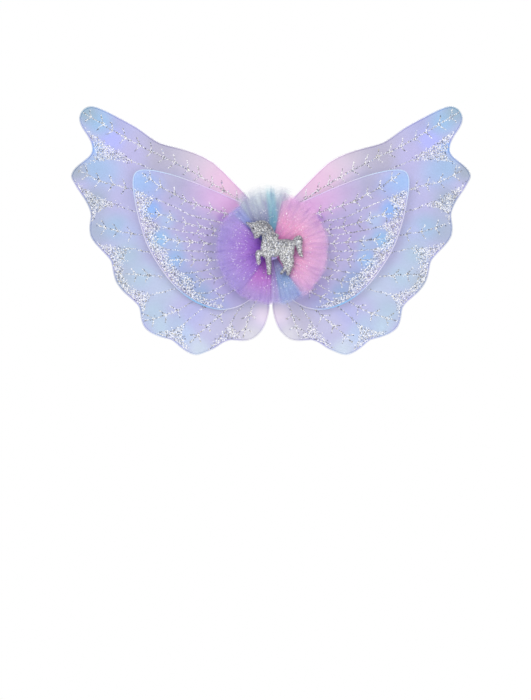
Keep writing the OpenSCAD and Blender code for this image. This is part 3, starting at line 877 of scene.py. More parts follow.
# Colours of the knot round its centre, lightened as painted light against the shade of the unicorn and the gathers
# over it
KNOT = ((0.0, "B484E8"), (0.13, "B884E4"), (0.2, "BC8CDC"), (0.25, "BCA6E4"), (0.29, "B8ACE4"), (0.33, "A8A8E0"),
        (0.38, "F4A4D8"), (0.66, "F8ACE0"), (0.71, "B8A8D8"), (0.75, "84B4D0"), (0.86, "9C94DC"), (1.0, "B484E8"))
NET_COVER = 0.6
NET_CELLS = 820
# How far a net's sides thin out, from inside to outside its fan's first and last angle
SIDE_FADE = math.radians(-0.5), math.radians(6.5)
# How a net's cover falls towards its edge: share of its reach, and share of its full cover
FADE = [(0.3, 1.0), (0.76, 0.92), (0.86, 0.76), (0.94, 0.46), (1.0, 0.12)]
HAZY_FADE = [(0.3, 1.0), (0.7, 0.92), (0.82, 0.62), (0.92, 0.28), (1.0, 0.05)]
# Reach of each layer of net from the back, as a share of its fan's
LAYERS = (1.0, 0.975, 0.94, 0.87)
# The part of the flat cut that the fan shows; the rest is taken up in its gathers
FAN_OVERREACH = 1.06
# How far a layer of net goes past its fan's sides, in degrees
LAP = (5.0, 6.5)


def net_material(name, colours, edge, first, last):
    """Soft net whose colour pales and thins towards its edge, with gathers that run outward, darker where the net is
    thicker and partly as painted shade, and a little lighter between them. It thins to its two sides too, past the
    first and the last angle of its fan."""
    s = Shader(name, colours[1], Roughness=0.55, Sheen_Weight=0.5, Sheen_Roughness=0.5, Specular_IOR_Level=0.25)
    x, _, z = s.axes()
    flat = s.join(x, 0.0, z)
    length = s.vector("LENGTH", flat).outputs["Value"]
    reach = s.math("DIVIDE", length, RIM_R, clamp=True)
    unit = s.vector("NORMALIZE", flat).outputs[0]
    spoke = s.vector("SCALE", unit, {"Scale": s.math("MULTIPLY_ADD", reach, 0.15, 0.5)}).outputs[0]
    gathers = s.noise(22, spoke, detail=4, roughness=0.62)
    base = s.ramp(reach, *zip((0.22, 0.58, 0.92), colours))
    # Darker where the net gathers thicker, partly as painted shade in the folds, and a little lighter between them
    shade = s.ramp(gathers, (0.36, (0.80, 0.76, 0.88)), (0.54, 1), (0.70, (1.08, 1.08, 1.06)))
    if name in CREASE_SHADED:
        # Painted shade: dark creases near the knot, fading out towards the rim
        crease_shade = s.ramp(s.noise(46, spoke, detail=2), (0.35, (0.72, 0.60, 0.84)), (0.44, 1))
        outer = s.ramp(reach, (0.3, 1), (0.8, 0))
        shade = s.times(shade, s.mix(outer, rgb(1.0), crease_shade))
    hazy = name == HAZY
    fade = s.ramp(s.math("DIVIDE", length, edge, clamp=True),
                  *((at, NET_COVER * share) for at, share in (HAZY_FADE if hazy else FADE)))
    if hazy:
        leaning = s.math("ADD", x, s.math("MULTIPLY", z, STRIP_LEAN))
        off = s.math("ABSOLUTE", s.math("SUBTRACT", leaning, STRIP_X))
        outside = s.ease(off, *STRIP_HALF)
        base = s.mix(outside, base, s.ramp(reach, *zip((0.3, 0.62, 0.95), HAZE)))
        fade = s.times(fade, s.ramp(outside, (0.0, 1), (1.0, 0.82)))
    tone = s.ramp(s.noise(7, spoke, detail=2), (0.32, (0.93, 0.91, 0.98)), (0.62, (1.04, 1.04, 1.03)))
    soft = s.ramp(s.noise(24, detail=3), (0.3, (0.94, 0.93, 0.98)), (0.7, (1.05, 1.05, 1.03)))
    s.feed("Base Color", s.times(base, shade, tone, soft))
    thick = s.ramp(gathers, (0.38, 1.2), (0.62, 0.85))
    mesh = s.ramp(s.cells(NET_CELLS, feature="DISTANCE_TO_EDGE")["Distance"], (0.05, 1.3), (0.3, 0.86))
    middle, half = (first + last) / 2, (last - first) / 2
    c, d = math.cos(middle), math.sin(middle)
    ahead = s.math("ADD", s.math("MULTIPLY", x, c), s.math("MULTIPLY", z, d))
    aside = s.math("SUBTRACT", s.math("MULTIPLY", z, c), s.math("MULTIPLY", x, d))
    off = s.math("ABSOLUTE", s.math("ARCTAN2", aside, ahead))
    sides = s.ease(off, half + SIDE_FADE[0], half + SIDE_FADE[1], 1.0, 0.0)
    s.feed("Alpha", s.math("MULTIPLY", s.times(fade, thick, mesh), sides))
    return s.material


def fan_span(node):
    """First and last angle of a fan, about the rosette's centre, and its reach."""
    points = np.array([tuple(v.co) for v in NODES[node].data.vertices])
    middle = math.atan2(points[:, 2].mean(), points[:, 0].mean())
    turn = np.arctan2(points[:, 2], points[:, 0]) - middle
    turn = (turn + math.pi) % TURN - math.pi
    return middle + turn.min(), middle + turn.max(), float(np.hypot(points[:, 0], points[:, 2]).max())


def tulle_depth(angle, r, layer):
    """Depth of a layer of tulle. Every layer lies in the ruffles of the one behind it."""
    out = max(0.0, (r - CORE_R) / (RIM_R - CORE_R))
    wave = RUFFLE * out * math.sin(TURN * angle / RUFFLE_PITCH)
    phase = 0.5 + 0.5 * math.sin(angle * 97 + layer * 1.7 + 2 * math.sin(angle * 9))
    gather = GATHER_DEPTH * (1 - 0.6 * out) * phase
    lift = 0.7 * MM * noise.noise(Vector((math.cos(angle) * 3, math.sin(angle) * 3, out * 1.5 + layer * 4.3))) * out
    offset = FIRST_LAYER - LAYER_GAP * layer
    return SEAT_FRONT - 1.15 * MM - FLARE * (r - CORE_R) + wave + offset - gather - abs(lift)


def build_fan(node, colours, stagger, rng, rings=18):
    first, last, reach = fan_span(node)
    reach *= FAN_OVERREACH
    inner = CORE_R - 0.6 * MM
    verts, faces = [], []
    for layer, share in enumerate(LAYERS):
        lap = math.radians(rng.uniform(*LAP))
        low, high = first - lap, last + lap
        columns = max(10, int(math.degrees(high - low) / 0.8))
        start = len(verts)
        wobble = [rng.uniform(0, 6.28) for _ in range(3)]
        for i in range(columns + 1):
            along = i / columns
            angle = low + (high - low) * along
            edge = 1 + 0.018 * math.sin(11 * angle + wobble[0]) + 0.012 * math.sin(29 * angle + wobble[1])
            corner = min(1.0, min(along, 1 - along) * columns / 5)
            rim = reach * share * edge * (0.97 + 0.03 * math.sqrt(corner))
            for j in range(rings + 1):
                r = inner + (rim - inner) * j / rings
                a = angle + math.radians(1.4) * math.sin(4.5 * j / rings + wobble[2] + layer) * j / rings
                verts.append((r * math.cos(a), tulle_depth(a, r, layer) + stagger * MM, r * math.sin(a)))
        for i in range(columns):
            for j in range(rings):
                a = start + i * (rings + 1) + j
                faces.append((a, a + 1, a + rings + 2, a + rings + 1))
    net = net_material(node, colours, reach, first, last)
    obj = add_piece(f"{node}_net", (verts, faces), net, "centre", [node], recalculate=False)


def build_core():
    """The knot: the gathered inner edges of the tulle, drawn together with thread, under the unicorn."""
    s = Shader("knot_net", "B488DC", Roughness=0.65, Sheen_Weight=0.5, Sheen_Roughness=0.5)
    x, _, z = s.axes()
    share = s.math("MULTIPLY_ADD", s.math("ARCTAN2", z, x), 1 / TURN, 0.5)
    streak = s.ramp(s.noise(420, detail=3), (0.3, (0.78, 0.74, 0.86)), (0.65, (1.08, 1.08, 1.06)))
    s.feed("Base Color", s.times(s.ramp(share, *KNOT), streak))
    s.bump(s.noise(700, detail=2), 0.4, 0.0003)
    # Rings of the knot's side and then, from the drawn-in ring on, of its front: share of its radius and depth
    rings = [(0.97, 0.0), (0.99, 0.12), (0.93, 0.3), (0.9, 0.5), (0.93, 0.72), (0.98, 0.88), (0.95, 0.955),
             (0.86, 0.985), (0.7, 0.98), (0.52, 0.965), (0.34, 0.955), (0.18, 0.95), (0.06, 0.945)]
    drawn_in, columns = 7, 192
    verts = []
    for k, (share_r, share_y) in enumerate(rings):
        deep = 0.055 * min(1, share_r / 0.3)
        for i in range(columns):
            angle = TURN * i / columns
            fold = 0.5 + 0.5 * math.sin(41 * angle + 1.5 * math.sin(7 * angle))
            r = CORE_R * (share_r - deep * fold if k <= drawn_in else share_r)
            y = SEAT_FRONT + (CORE_FRONT - SEAT_FRONT) * (share_y - (0.022 * fold if k >= drawn_in else 0))
            verts.append((r * math.cos(angle), y, r * math.sin(angle)))
    shape = verts, ring_faces(len(rings), columns) + end_faces(len(rings), columns)
    add_piece("tulle_knot", shape, s.material, "centre", ["rosette_core"],
                        recalculate=False)


def felt_material(name, code):
    s = Shader(name, code, Roughness=0.92, Sheen_Weight=0.6, Sheen_Roughness=0.6, Specular_IOR_Level=0.2)
    fibre = s.noise(1600, detail=5, roughness=0.7)
    mottle = s.ramp(s.noise(160, detail=3), (0.35, 0), (0.65, 1))
    s.feed("Base Color", s.times(s.mix(mottle, darker(code, 0.93), code), s.ramp(fibre, (0.3, 0.84), (0.7, 1.06))))
    s.bump(fibre, 0.55, 0.0003)
    return s.material


def thread_material(name, code):
    s = Shader(name, code, Roughness=0.5, Sheen_Weight=0.3)
    x, y, z = s.axes()
    twist = s.math("SINE", s.math("MULTIPLY", s.math("ADD", s.math("ADD", x, y), z), 9000))
    s.feed("Base Color", s.ramp(twist, (0.2, darker(code, 0.8)), (0.8, code)))
    s.bump(twist, 0.4, 0.0001)
    return s.material


def build_seat():
    """Felt disc with a pinked edge, and a ring of stitches round the knot."""
    low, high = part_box("rosette_seat")
    turns = np.linspace(0, TURN, 192, endpoint=False)
    radius = high.x - 0.25 * MM + 0.25 * MM * np.abs(((turns * 32 / math.pi) % 2) - 1)
    outline = np.stack([radius * np.cos(turns), radius * np.sin(turns)], 1)
    add_piece("rosette_felt", plate_mesh(outline, low.y, high.y, 0.25 * MM), felt_material("felt_lilac", "B9A6DE"),
              "centre", ["rosette_seat"])
    count, r, y = 20, 11.2 * MM, high.y - 0.05 * MM
    pairs = [[(r * math.cos(t), y, r * math.sin(t)) for t in (a, a + 0.19)]
             for a in (TURN * k / count for k in range(count))]
    add_piece("rosette_stitches", stitch_mesh(pairs, out=(0, 1, 0)), thread_material("seat_thread", "E9E2F6"),
              "centre", recalculate=False)


def build_rosette_sparkle(materials, count=640):
    rng = random.Random(77)
    glitter = Glitter(78)
    for _ in range(count):
        angle = rng.uniform(0, TURN)
        r = (CORE_R + 3 * MM) + (RIM_R - CORE_R - 5 * MM) * math.sqrt(rng.random())
        layer = 1 if r > 0.88 * RIM_R else 2 if r > 0.78 * RIM_R else 3
        c, s = math.cos(angle), math.sin(angle)
        place = (r * c, tulle_depth(angle, r, layer) - 0.05 * MM, r * s)
        # Mostly the white tint: painted glints scattered over the tulle
        slot = rng.choice((0, 0, 0, 0, 1))
        glitter.add(place, (-0.35 * c, -1, -0.35 * s), rng.uniform(*TULLE_FLAKE) * MM, slot)
    glitter.make("rosette_sparkle", materials, "centre")


# ---------------------------------------------------------------- unicorn

# Grooves that draw the stuffed shape in, by the mane, jaw, chest, thigh and shoulder: places, depth and width in mm
GROOVES = [
    ([(-14, 27.6), (-9.4, 26.6), (-5.1, 24.2), (-0.4, 19.4), (3.2, 14.8), (7.8, 11.2)], 0.7, 0.8),
    ([(-10.6, 17.6), (-12.4, 20.4), (-13.8, 23.6)], 0.5, 0.7),
    ([(-10.2, 17), (-8.6, 11.8), (-9.6, 5.4), (-9.8, -1)], 0.5, 0.55),
    ([(14.5, -9), (16.5, -3), (20.5, 1)], 0.35, 0.9),
    ([(-8.2, -7.8), (-6.0, -2.2), (-5.8, 2.2)], 0.35, 0.9),
]
# Places of painted shade on the mane, the neck and the top of the back, where the glitter takes darker tints: distance
# out, height and reach in mm, and how strong the shade is
SHADED_PLACES = [(-14, 30, 6, 0.9), (-7, 28, 6, 1.0), (-1, 23, 5, 1.0), (3, 18, 5, 0.9), (-6, 17, 6, 0.85),
               (-3, 9, 7, 0.6), (4, 6, 7, 0.45), (12, 9, 5, 0.9), (18, 9.5, 5, 1.0), (24, 8.5, 4, 0.8),
               (33, 12, 5, 0.6), (-25, 29, 5, 0.8), (-20, 22, 4, 0.4)]
FLAT_RIM, SWELL_REACH = 0.75 * MM, 4.6 * MM
RIM_HEIGHT, FULL_HEIGHT = 0.85 * MM, 4.3 * MM
# The glitter takes darker tints near the sealed rim, as painted shade, and stops short of the rim, and leaves the eye
# free
SHADED_RIM, BARE_RIM, EYE_CLEARANCE = 0.9 * MM, 0.25 * MM, 1.55 * MM


def unicorn_height(points, outline):
    """How far the stuffed shape stands out: a sealed flat rim, then a swell, drawn in by the grooves."""
    d = edge_distance(points, outline) - FLAT_RIM
    h = RIM_HEIGHT + (FULL_HEIGHT - RIM_HEIGHT) * np.sqrt(1 - (1 - np.clip(d / SWELL_REACH, 0, 1)) ** 2)
    for line, depth, wide in GROOVES:
        path = resample(smooth_curve(np.array(line) * MM, 6), 0.5 * MM)
        near = np.min(np.linalg.norm(points[:, None, :] - path[None, :, :], axis=2), axis=1)
        h -= depth * MM * np.exp(-(near / (wide * MM)) ** 2) * np.clip(d / (1.2 * MM), 0, 1)
    return h


def unicorn_painted_shade(x, z):
    """How much painted shade darkens the glitter at a place in mm, from 0, lit, to 1, in full shade."""
    return min(1.0, max(share * math.exp(-((x - px) ** 2 + (z - pz) ** 2) / reach ** 2)
                        for px, pz, reach, share in SHADED_PLACES) * 1.15)


def glitter_cloth_material():
    s = Shader("glitter_cloth", (0.42, 0.43, 0.46), Metallic=0.3, Roughness=0.4)
    grey = s.node("ShaderNodeSeparateXYZ", {0: s.cells(1500)["Color"]}).outputs[0]
    s.feed("Base Color", s.ramp(grey, (0.0, (0.05, 0.05, 0.065)), (0.3, (0.2, 0.205, 0.23)),
                                (0.55, (0.42, 0.42, 0.45)), (0.8, (0.7, 0.71, 0.74)), (1.0, 1)))
    s.bump(grey, 0.8, 0.0003)
    return s.material


def two_sided(points, triangles, rim, front, back):
    """A closed shape from a filled outline in XZ and the depths of its front and back. The first points are the
    rim."""
    count = len(points)
    verts = [(x, y, z) for (x, z), y in zip(points, front)] + [(x, back, z) for x, z in points]
    faces = list(triangles) + [tuple(count + i for i in t[::-1]) for t in triangles]
    return verts, faces + [(i, (i + 1) % rim, count + (i + 1) % rim, count + i) for i in range(rim)]


def build_unicorn(flakes):
    back_low, back_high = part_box("unicorn_backing")
    base = back_low.y
    outline = face_loop("unicorn_cover", (0, -1, 0))[:, [0, 2]]
    outline = resample(smooth_curve(outline, 4, closed=True), 0.8 * MM, closed=True)
    add_piece("unicorn_felt", plate_mesh(outline, base, back_high.y, 0.3 * MM), felt_material("felt_grey", "A6A2B4"),
              "centre", ["unicorn_backing"])

    points, triangles = fill_outline(outline, 0.85 * MM, seed=9)
    skin = two_sided(points, triangles, len(outline), base - unicorn_height(points, outline), base)
    add_piece("unicorn_cloth", skin, glitter_cloth_material(), "centre",
                        ["unicorn_cover", "unicorn_padding"])

    # Glitter over the whole cover but the eye, each flake on the slope where it lies
    rng = random.Random(31)
    glitter = Glitter(32)
    spots = scatter(outline.min(0), outline.max(0), 0.95 * MM, rng)
    spots = spots[inside_polygon(spots, outline)]
    near = edge_distance(spots, outline)
    spots, near = spots[near > BARE_RIM], near[near > BARE_RIM]
    h = unicorn_height(spots, outline)
    step = 0.2 * MM
    slopes = [np.clip((unicorn_height(spots + move, outline) - h) / step, -2, 2) for move in ((step, 0), (0, step))]
    eye_low, eye_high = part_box("unicorn_eye")
    centre = (eye_low + eye_high) / 2
    for (x, z), height, sx, sz, e in zip(spots, h, *slopes, near):
        if math.hypot(x - centre.x, z - centre.z) < EYE_CLEARANCE:
            continue
        # Painted shade: darker tints at the rim and on the top of the back, the mane and the neck; brighter tints
        # where the shape is painted as lit
        shaded = 1.0 if e < SHADED_RIM else unicorn_painted_shade(x / MM, z / MM)
        slot = rng.choices(TINTS, [a + (b - a) * shaded for a, b in zip(LIT_SHARES, SHADED_SHARES)])[0]
        glitter.add((x, base - height - 0.03 * MM, z), (-sx, -1, -sz), rng.uniform(*UNICORN_FLAKE) * MM, slot)
    glitter.make("unicorn_glitter", flakes, "centre")

    # The eye: a bead on a low ring, as rings of its radius's share and their depth
    r, sides = (eye_high.x - eye_low.x) / 2, 32
    ground = base - float(unicorn_height(np.array([(centre.x, centre.z)]), outline)[0])
    top = eye_low.y
    rows = [(1.0, ground + 0.3 * MM), (1.08, ground - 0.12 * MM), (1.0, ground - 0.3 * MM),
            (0.93, ground - 0.34 * MM), (0.8, top + 0.30 * MM), (0.55, top + 0.1 * MM), (0.25, top + 0.02 * MM)]
    verts = [(x, y, z) for share, y in rows for x, z in circle(centre.x, centre.z, r * share, sides)]
    s = Shader("eye_bead", (0.02, 0.02, 0.03), Roughness=0.12, Coat_Weight=0.8, Coat_Roughness=0.05)
    s.feed("Base Color", s.ramp(s.noise(1500), (0.4, (0.015, 0.014, 0.02)), (0.7, (0.05, 0.045, 0.07))))
    add_piece("unicorn_eye_bead", (verts, ring_faces(len(rows), sides) + end_faces(len(rows), sides)), s.material,
              "centre", ["unicorn_eye"])


def build_rosette(flakes):
    rng = random.Random(5)
    for node, (colours, stagger) in FANS.items():
        build_fan(node, colours, stagger, rng)
    build_core()
    build_seat()
    build_rosette_sparkle(flakes)
    build_unicorn(flakes)


# ---------------------------------------------------------------- pad, stay, loops and straps

WIRE_BORE = 0.93 * MM
# How far from its end an anchor narrows to its neck, and how long and how wide bored its collar is
NECK, COLLAR_LENGTH, COLLAR_BORE = 4.6 * MM, 5 * MM, 1.05 * MM
ANCHOR_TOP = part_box("strap_anchors")[1].z
ANCHOR_X = abs(JOINTS["strap_right_swing"]["pos_m"][0])


def woven_material(name, code, pitch):
    """Narrow woven tape or elastic: a weave of that pitch, darker in its hollows than on its ridges."""
    s = Shader(name, code, Roughness=0.7, Sheen_Weight=0.4, Sheen_Roughness=0.5, Specular_IOR_Level=0.3)
    weave = s.weave(pitch)
    soft = s.ramp(s.noise(220, detail=4), (0.3, (0.93, 0.93, 0.95)), (0.7, (1.02, 1.02, 1.0)))
    s.feed("Base Color", s.times(s.ramp(weave, (0.1, darker(code, 0.82)), (0.8, code)), soft))
    s.bump(weave, 0.5, 0.0002)
    return s.material


def grained_material(name, colour, grain, stops, strength, distance, **values):
    """A plain surface whose colour and height follow a noise of that scale."""
    s = Shader(name, colour, **values)
    rub = s.noise(grain, detail=4)
    s.feed("Base Color", s.ramp(rub, *zip((0.3, 0.7), stops)))
    s.bump(rub, strength, distance)
    return s.material


def pad_outline(node, inset, spacing=1.5 * MM):
    """The pad's outline in XZ, moved inward."""
    outline = resample(face_loop(node, (0, 1, 0))[:, [0, 2]], spacing, closed=True)
    return outline + inward(outline, 2) * inset


def inflate(obj, held, cap, pressure=4.0, frames=20):
    """Blows a closed cloth up from inside, with some points held, and lets no point move further than the cap."""
    group = obj.vertex_groups.new(name="held")
    group.add([i for i, h in enumerate(held) if h], 1.0, "REPLACE")
    cloth = obj.modifiers.new("cloth", "CLOTH")
    settings = cloth.settings
    settings.quality = 6
    settings.mass = 0.2
    settings.tension_stiffness = settings.compression_stiffness = 12
    settings.shear_stiffness = 8
    settings.bending_stiffness = 1.5
    settings.use_pressure = True
    settings.uniform_pressure_force = pressure
    settings.effector_weights.gravity = 0
    settings.vertex_group_mass = "held"
    cloth.point_cache.frame_start, cloth.point_cache.frame_end = 1, frames
    rest = np.array([tuple(v.co) for v in obj.data.vertices])
    scene = bpy.context.scene
    for f in range(1, frames + 1):
        scene.frame_set(f)
    blown = obj.evaluated_get(bpy.context.evaluated_depsgraph_get())
    move = np.array([tuple(v.co) for v in blown.data.vertices]) - rest
    obj.modifiers.remove(cloth)
    obj.vertex_groups.remove(group)
    scene.frame_set(1)
    length = np.linalg.norm(move, axis=1)
    move *= np.where(length > cap, cap / np.maximum(length, 1e-9), 1.0)[:, None]
    return rest + move


def subdivide(obj):
    """Smooths a mesh by one subdivision."""
    modifier = obj.modifiers.new("smooth", "SUBSURF")
    modifier.levels = modifier.render_levels = 1
    mesh = bpy.data.meshes.new_from_object(obj.evaluated_get(bpy.context.evaluated_depsgraph_get()))
    old = obj.data
    obj.modifiers.clear()
    obj.data = mesh
    mesh.name = obj.name
    bpy.data.meshes.remove(old)


# The furthest that the simulation may move a point of the cushion, and the pits under the anchors: depth, half
# width and half height
CUSHION_TRAVEL = 1.6 * MM
PIT_DEPTH, PIT_X, PIT_Z = 1.2 * MM, 4 * MM, 6 * MM


def build_cushion():
    """The cushion: crowned, seamed to the backing all round, and pressed flat where the stay lies on it."""
    stay_low, stay_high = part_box("spine_stay")
    low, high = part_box("pad_cushion")
    front, base = low.y, high.y - 0.05 * MM
    depth, seam = abs(front) - abs(base), 0.4 * MM
    flat_x, bevel_x = stay_high.x + 4 * MM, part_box("pad_backing")[1].x
    crown, swell_reach, at_bevel = depth - 1.1 * MM, 17 * MM, 1.3 * MM

    def room(x):
        """The most that the cushion may stand out beside the stay, so that a wing can swing back over it."""
        slope = max(0.0, (abs(x) - flat_x) / (bevel_x - flat_x))
        return depth * (1 - slope) + at_bevel * slope

    outline = pad_outline("pad_cushion", seam, 2 * MM)
    points, triangles = fill_outline(outline, 2.4 * MM, seed=4)
    distance = edge_distance(points, outline)
    swell = [math.sqrt(1 - (1 - min(1, d / swell_reach)) ** 2) for d in distance]
    fronts = [base - seam - min(crown, room(x) - 1.0 * MM) * s for (x, _), s in zip(points, swell)]
    s = Shader("pad_cloth", "E4DDF2", Roughness=0.75, Sheen_Weight=0.8, Sheen_Roughness=0.4)
    nap = s.noise(900, detail=5, roughness=0.7)
    drift = s.ramp(s.noise(30, detail=3), (0.35, "DCD3EE"), (0.65, "EEE9F8"))
    s.feed("Base Color", s.times(drift, s.ramp(nap, (0.3, 0.88), (0.7, 1.05))))
    s.bump(nap, 0.5, 0.0004)
    skin = two_sided(points, triangles, len(outline), fronts, base)
    cushion = fix_normals(make_object("pad_cushion_cloth", *skin, [s.material]))

    n = len(points)
    held = [abs(x) < stay_high.x - 1 * MM and stay_low.z < z < stay_high.z or d < 0.5 * MM
            for (x, z), d in zip(points, distance)] + [True] * n
    final = inflate(cushion, held, CUSHION_TRAVEL)
    for point in final[:n]:
        point[1] = max(point[1], base - seam - room(point[0]) + 0.2 * MM)
    cushion.data.vertices.foreach_set("co", final.ravel())
    # Press the middle flat under the stay, and draw in the seams beside it and the places under the anchors
    for v in cushion.data.vertices[:n]:
        x, z = v.co.x, v.co.z
        if stay_low.z - 2 * MM < z < stay_high.z + 2 * MM:
            beside = (abs(x) - stay_high.x - 1.6 * MM) / (1.3 * MM)
            v.co.y += 0.55 * MM * math.exp(-beside * beside)
            if abs(x) < stay_high.x:
                v.co.y = max(v.co.y, front + 0.05 * MM)
        for side in (-1, 1):
            for up in (-1, 1):
                dx, dz = x - side * ANCHOR_X, z * up - ANCHOR_TOP + 4 * MM
                v.co.y += PIT_DEPTH * math.exp(-(dx / PIT_X) ** 2 - (dz / PIT_Z) ** 2)
        v.co.y = min(v.co.y, base - 0.3 * MM)
    subdivide(cushion)
    place_piece(cushion, "centre", ["pad_cushion"])


def build_pad():
    """The felt backing with its bound edge and the stitches through it."""
    thread = thread_material("pad_thread", "C9BDE4")
    low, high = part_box("pad_backing")
    plate = plate_mesh(pad_outline("pad_backing", 0.6 * MM), low.y, high.y - 0.15 * MM, 0.3 * MM)
    add_piece("pad_felt", plate, felt_material("felt_white", "E6E2F0"), "centre", ["pad_backing"])

    def binding(i):
        pull = 1 + 0.05 * math.sin(i * 1.9) * math.sin(i * 0.61)
        return [(1.05 * MM * a * pull, 0.8 * MM * b * pull) for a, b in circle(0, 0, 1, 12)]

    middle = (low.y + high.y) / 2 - 0.2 * MM
    path = [(x, middle, z) for x, z in pad_outline("pad_backing", 0.75 * MM)]
    add_piece("pad_binding", sweep(path, binding), woven_material("binding", "CFC4EA", 0.7 * MM), "centre")

    # Stitches through the binding and, on the wearer's side, along the stay's two edges
    stay_low, stay_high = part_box("spine_stay")
    y = high.y - 0.16 * MM
    line = pad_outline("pad_backing", 2.6 * MM, 2.1 * MM)
    pairs = [[(a[0], y, a[1]), (b[0], y, b[1])] for a, b in zip(line[::2], line[1::2])]
    for side in (-1, 1):
        x, z = side * (stay_high.x - 2.5 * MM), stay_low.z + 4 * MM
        while z < stay_high.z - 6 * MM:
            pairs.append([(x, y, z), (x, y, z + 3 * MM)])
            z += 5 * MM
    add_piece("pad_stitches", stitch_mesh(pairs, out=(0, 1, 0)), thread, "centre", recalculate=False)


def build_stay():
    """The stiff strip, with rounded ends and edges, its web, and the threads that tie it to the pad."""
    low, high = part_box("spine_stay")
    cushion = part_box("pad_cushion")[0].y
    strip_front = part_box("hinge_loops_right")[1].y
    plastic = grained_material("stay_plastic", "D3CCE2", 500, ("CAC2DC", "DAD4E8"), 0.25, 0.0002, Roughness=0.5)
    w, corner = high.x, 5 * MM
    right, top, bottom = w - corner, high.z - corner, low.z + corner
    outline = corner_arcs([(right, top), (-right, top), (-right, bottom), (right, bottom)], corner, 8)
    outline = resample(outline, 1.2 * MM, closed=True)
    add_piece("stay_strip", plate_mesh(outline, strip_front, cushion - 0.01 * MM, 0.7 * MM, steps=4), plastic,
              "centre", ["spine_stay"])

    # The web swells into the strip at its foot and carries a flange at the rosette's seat
    half_w, half_h, r = 2 * MM, 11 * MM, 0.8 * MM
    rows = [(strip_front + 0.2 * MM, 1.2), (strip_front - 0.3 * MM, 0.6), (strip_front - 0.9 * MM, 0.2),
            (strip_front - 1.6 * MM, 0.0), (low.y + 1.2 * MM, 0.0), (low.y + 0.6 * MM, 0.25),
            (low.y + 0.02 * MM, 0.7)]
    verts = []
    for y, grow in rows:
        a, b = half_w + grow * 0.6 * MM - r, half_h + grow * MM - r
        ring = corner_arcs([(a, b), (-a, b), (-a, -b), (a, -b)], r, 4)
        verts += [(x, y, z) for x, z in ring]
    sides = len(verts) // len(rows)
    add_piece("stay_web", (verts, ring_faces(len(rows), sides) + end_faces(len(rows), sides)), plastic, "centre")

    pairs = []
    for side in (-1, 1):
        x, z = side * (w - 0.9 * MM), low.z + 5 * MM
        while z < high.z - 6 * MM:
            pairs.append([(x, strip_front + 0.1 * MM, z), (x + side * 2.2 * MM, cushion + 0.1 * MM, z + 0.4 * MM)])
            z += 7 * MM
    add_piece("stay_ties", stitch_mesh(pairs, radius=0.3 * MM, arch=0.6 * MM),
              thread_material("stay_thread", "F2EEFA"), "centre", recalculate=False)


# Ribs of the tape, and how its two edges are rounded off
RIB_HEIGHT, ROUNDED_LENGTH, ROUNDED_DEPTH = 0.05 * MM, 0.35 * MM, 0.16 * MM


def tape_solid(outer, holes, z_low, z_high, rib=0.55 * MM):
    """A band of tape wound round wires: an outline in XY with bores, ribbed along Z by its weft."""
    height = z_high - z_low
    rows = max(8, int(height / (rib / 2)))
    loops = [np.array(loop) for loop in (outer, *holes)]
    verts, faces, starts = [], [], []
    for which, loop in enumerate(loops):
        starts.append(len(verts))
        side = inward(loop)
        for k in range(rows + 1):
            z = z_low + height * k / rows
            wave = 0.0
            if which == 0:
                rounded = max(0.0, 1 - min(k / rows, 1 - k / rows) * height / ROUNDED_LENGTH) ** 2
                wave = RIB_HEIGHT * math.sin(TURN * z / rib) - ROUNDED_DEPTH * rounded
            verts += [(p[0], p[1], z) for p in loop - side * wave]
        faces += ring_faces(rows + 1, len(loop), starts[-1])

    # The two ends: triangles between the outline and the bores
    corners = [Vector(p) for loop in loops for p in loop]
    owners = [(which, i) for which, loop in enumerate(loops) for i in range(len(loop))]
    firsts = [owners.index((which, 0)) for which in range(len(loops))]
    edges = [(firsts[which] + i, firsts[which] + (i + 1) % len(loops[which])) for which, i in owners]
    made = geometry.delaunay_2d_cdt(corners, edges, [list(range(len(outer)))], 1, 1e-8)
    keep = [t for t in made[2] if not any(
        inside_polygon(np.mean([made[0][i] for i in t], axis=0)[None], hole)[0] for hole in loops[1:])]
    for row in (0, rows):
        for t in keep:
            faces.append(tuple(starts[w] + row * len(loops[w]) + i for w, i in (owners[k] for k in t)))
    return verts, faces


def loop_heights(node):
    """The lowest and highest point of each of a node's separate solids, from the bottom up."""
    zs = sorted({round(v.co.z, 5) for v in NODES[node].data.vertices})
    return list(zip(zs[:-1:2], zs[1::2]))


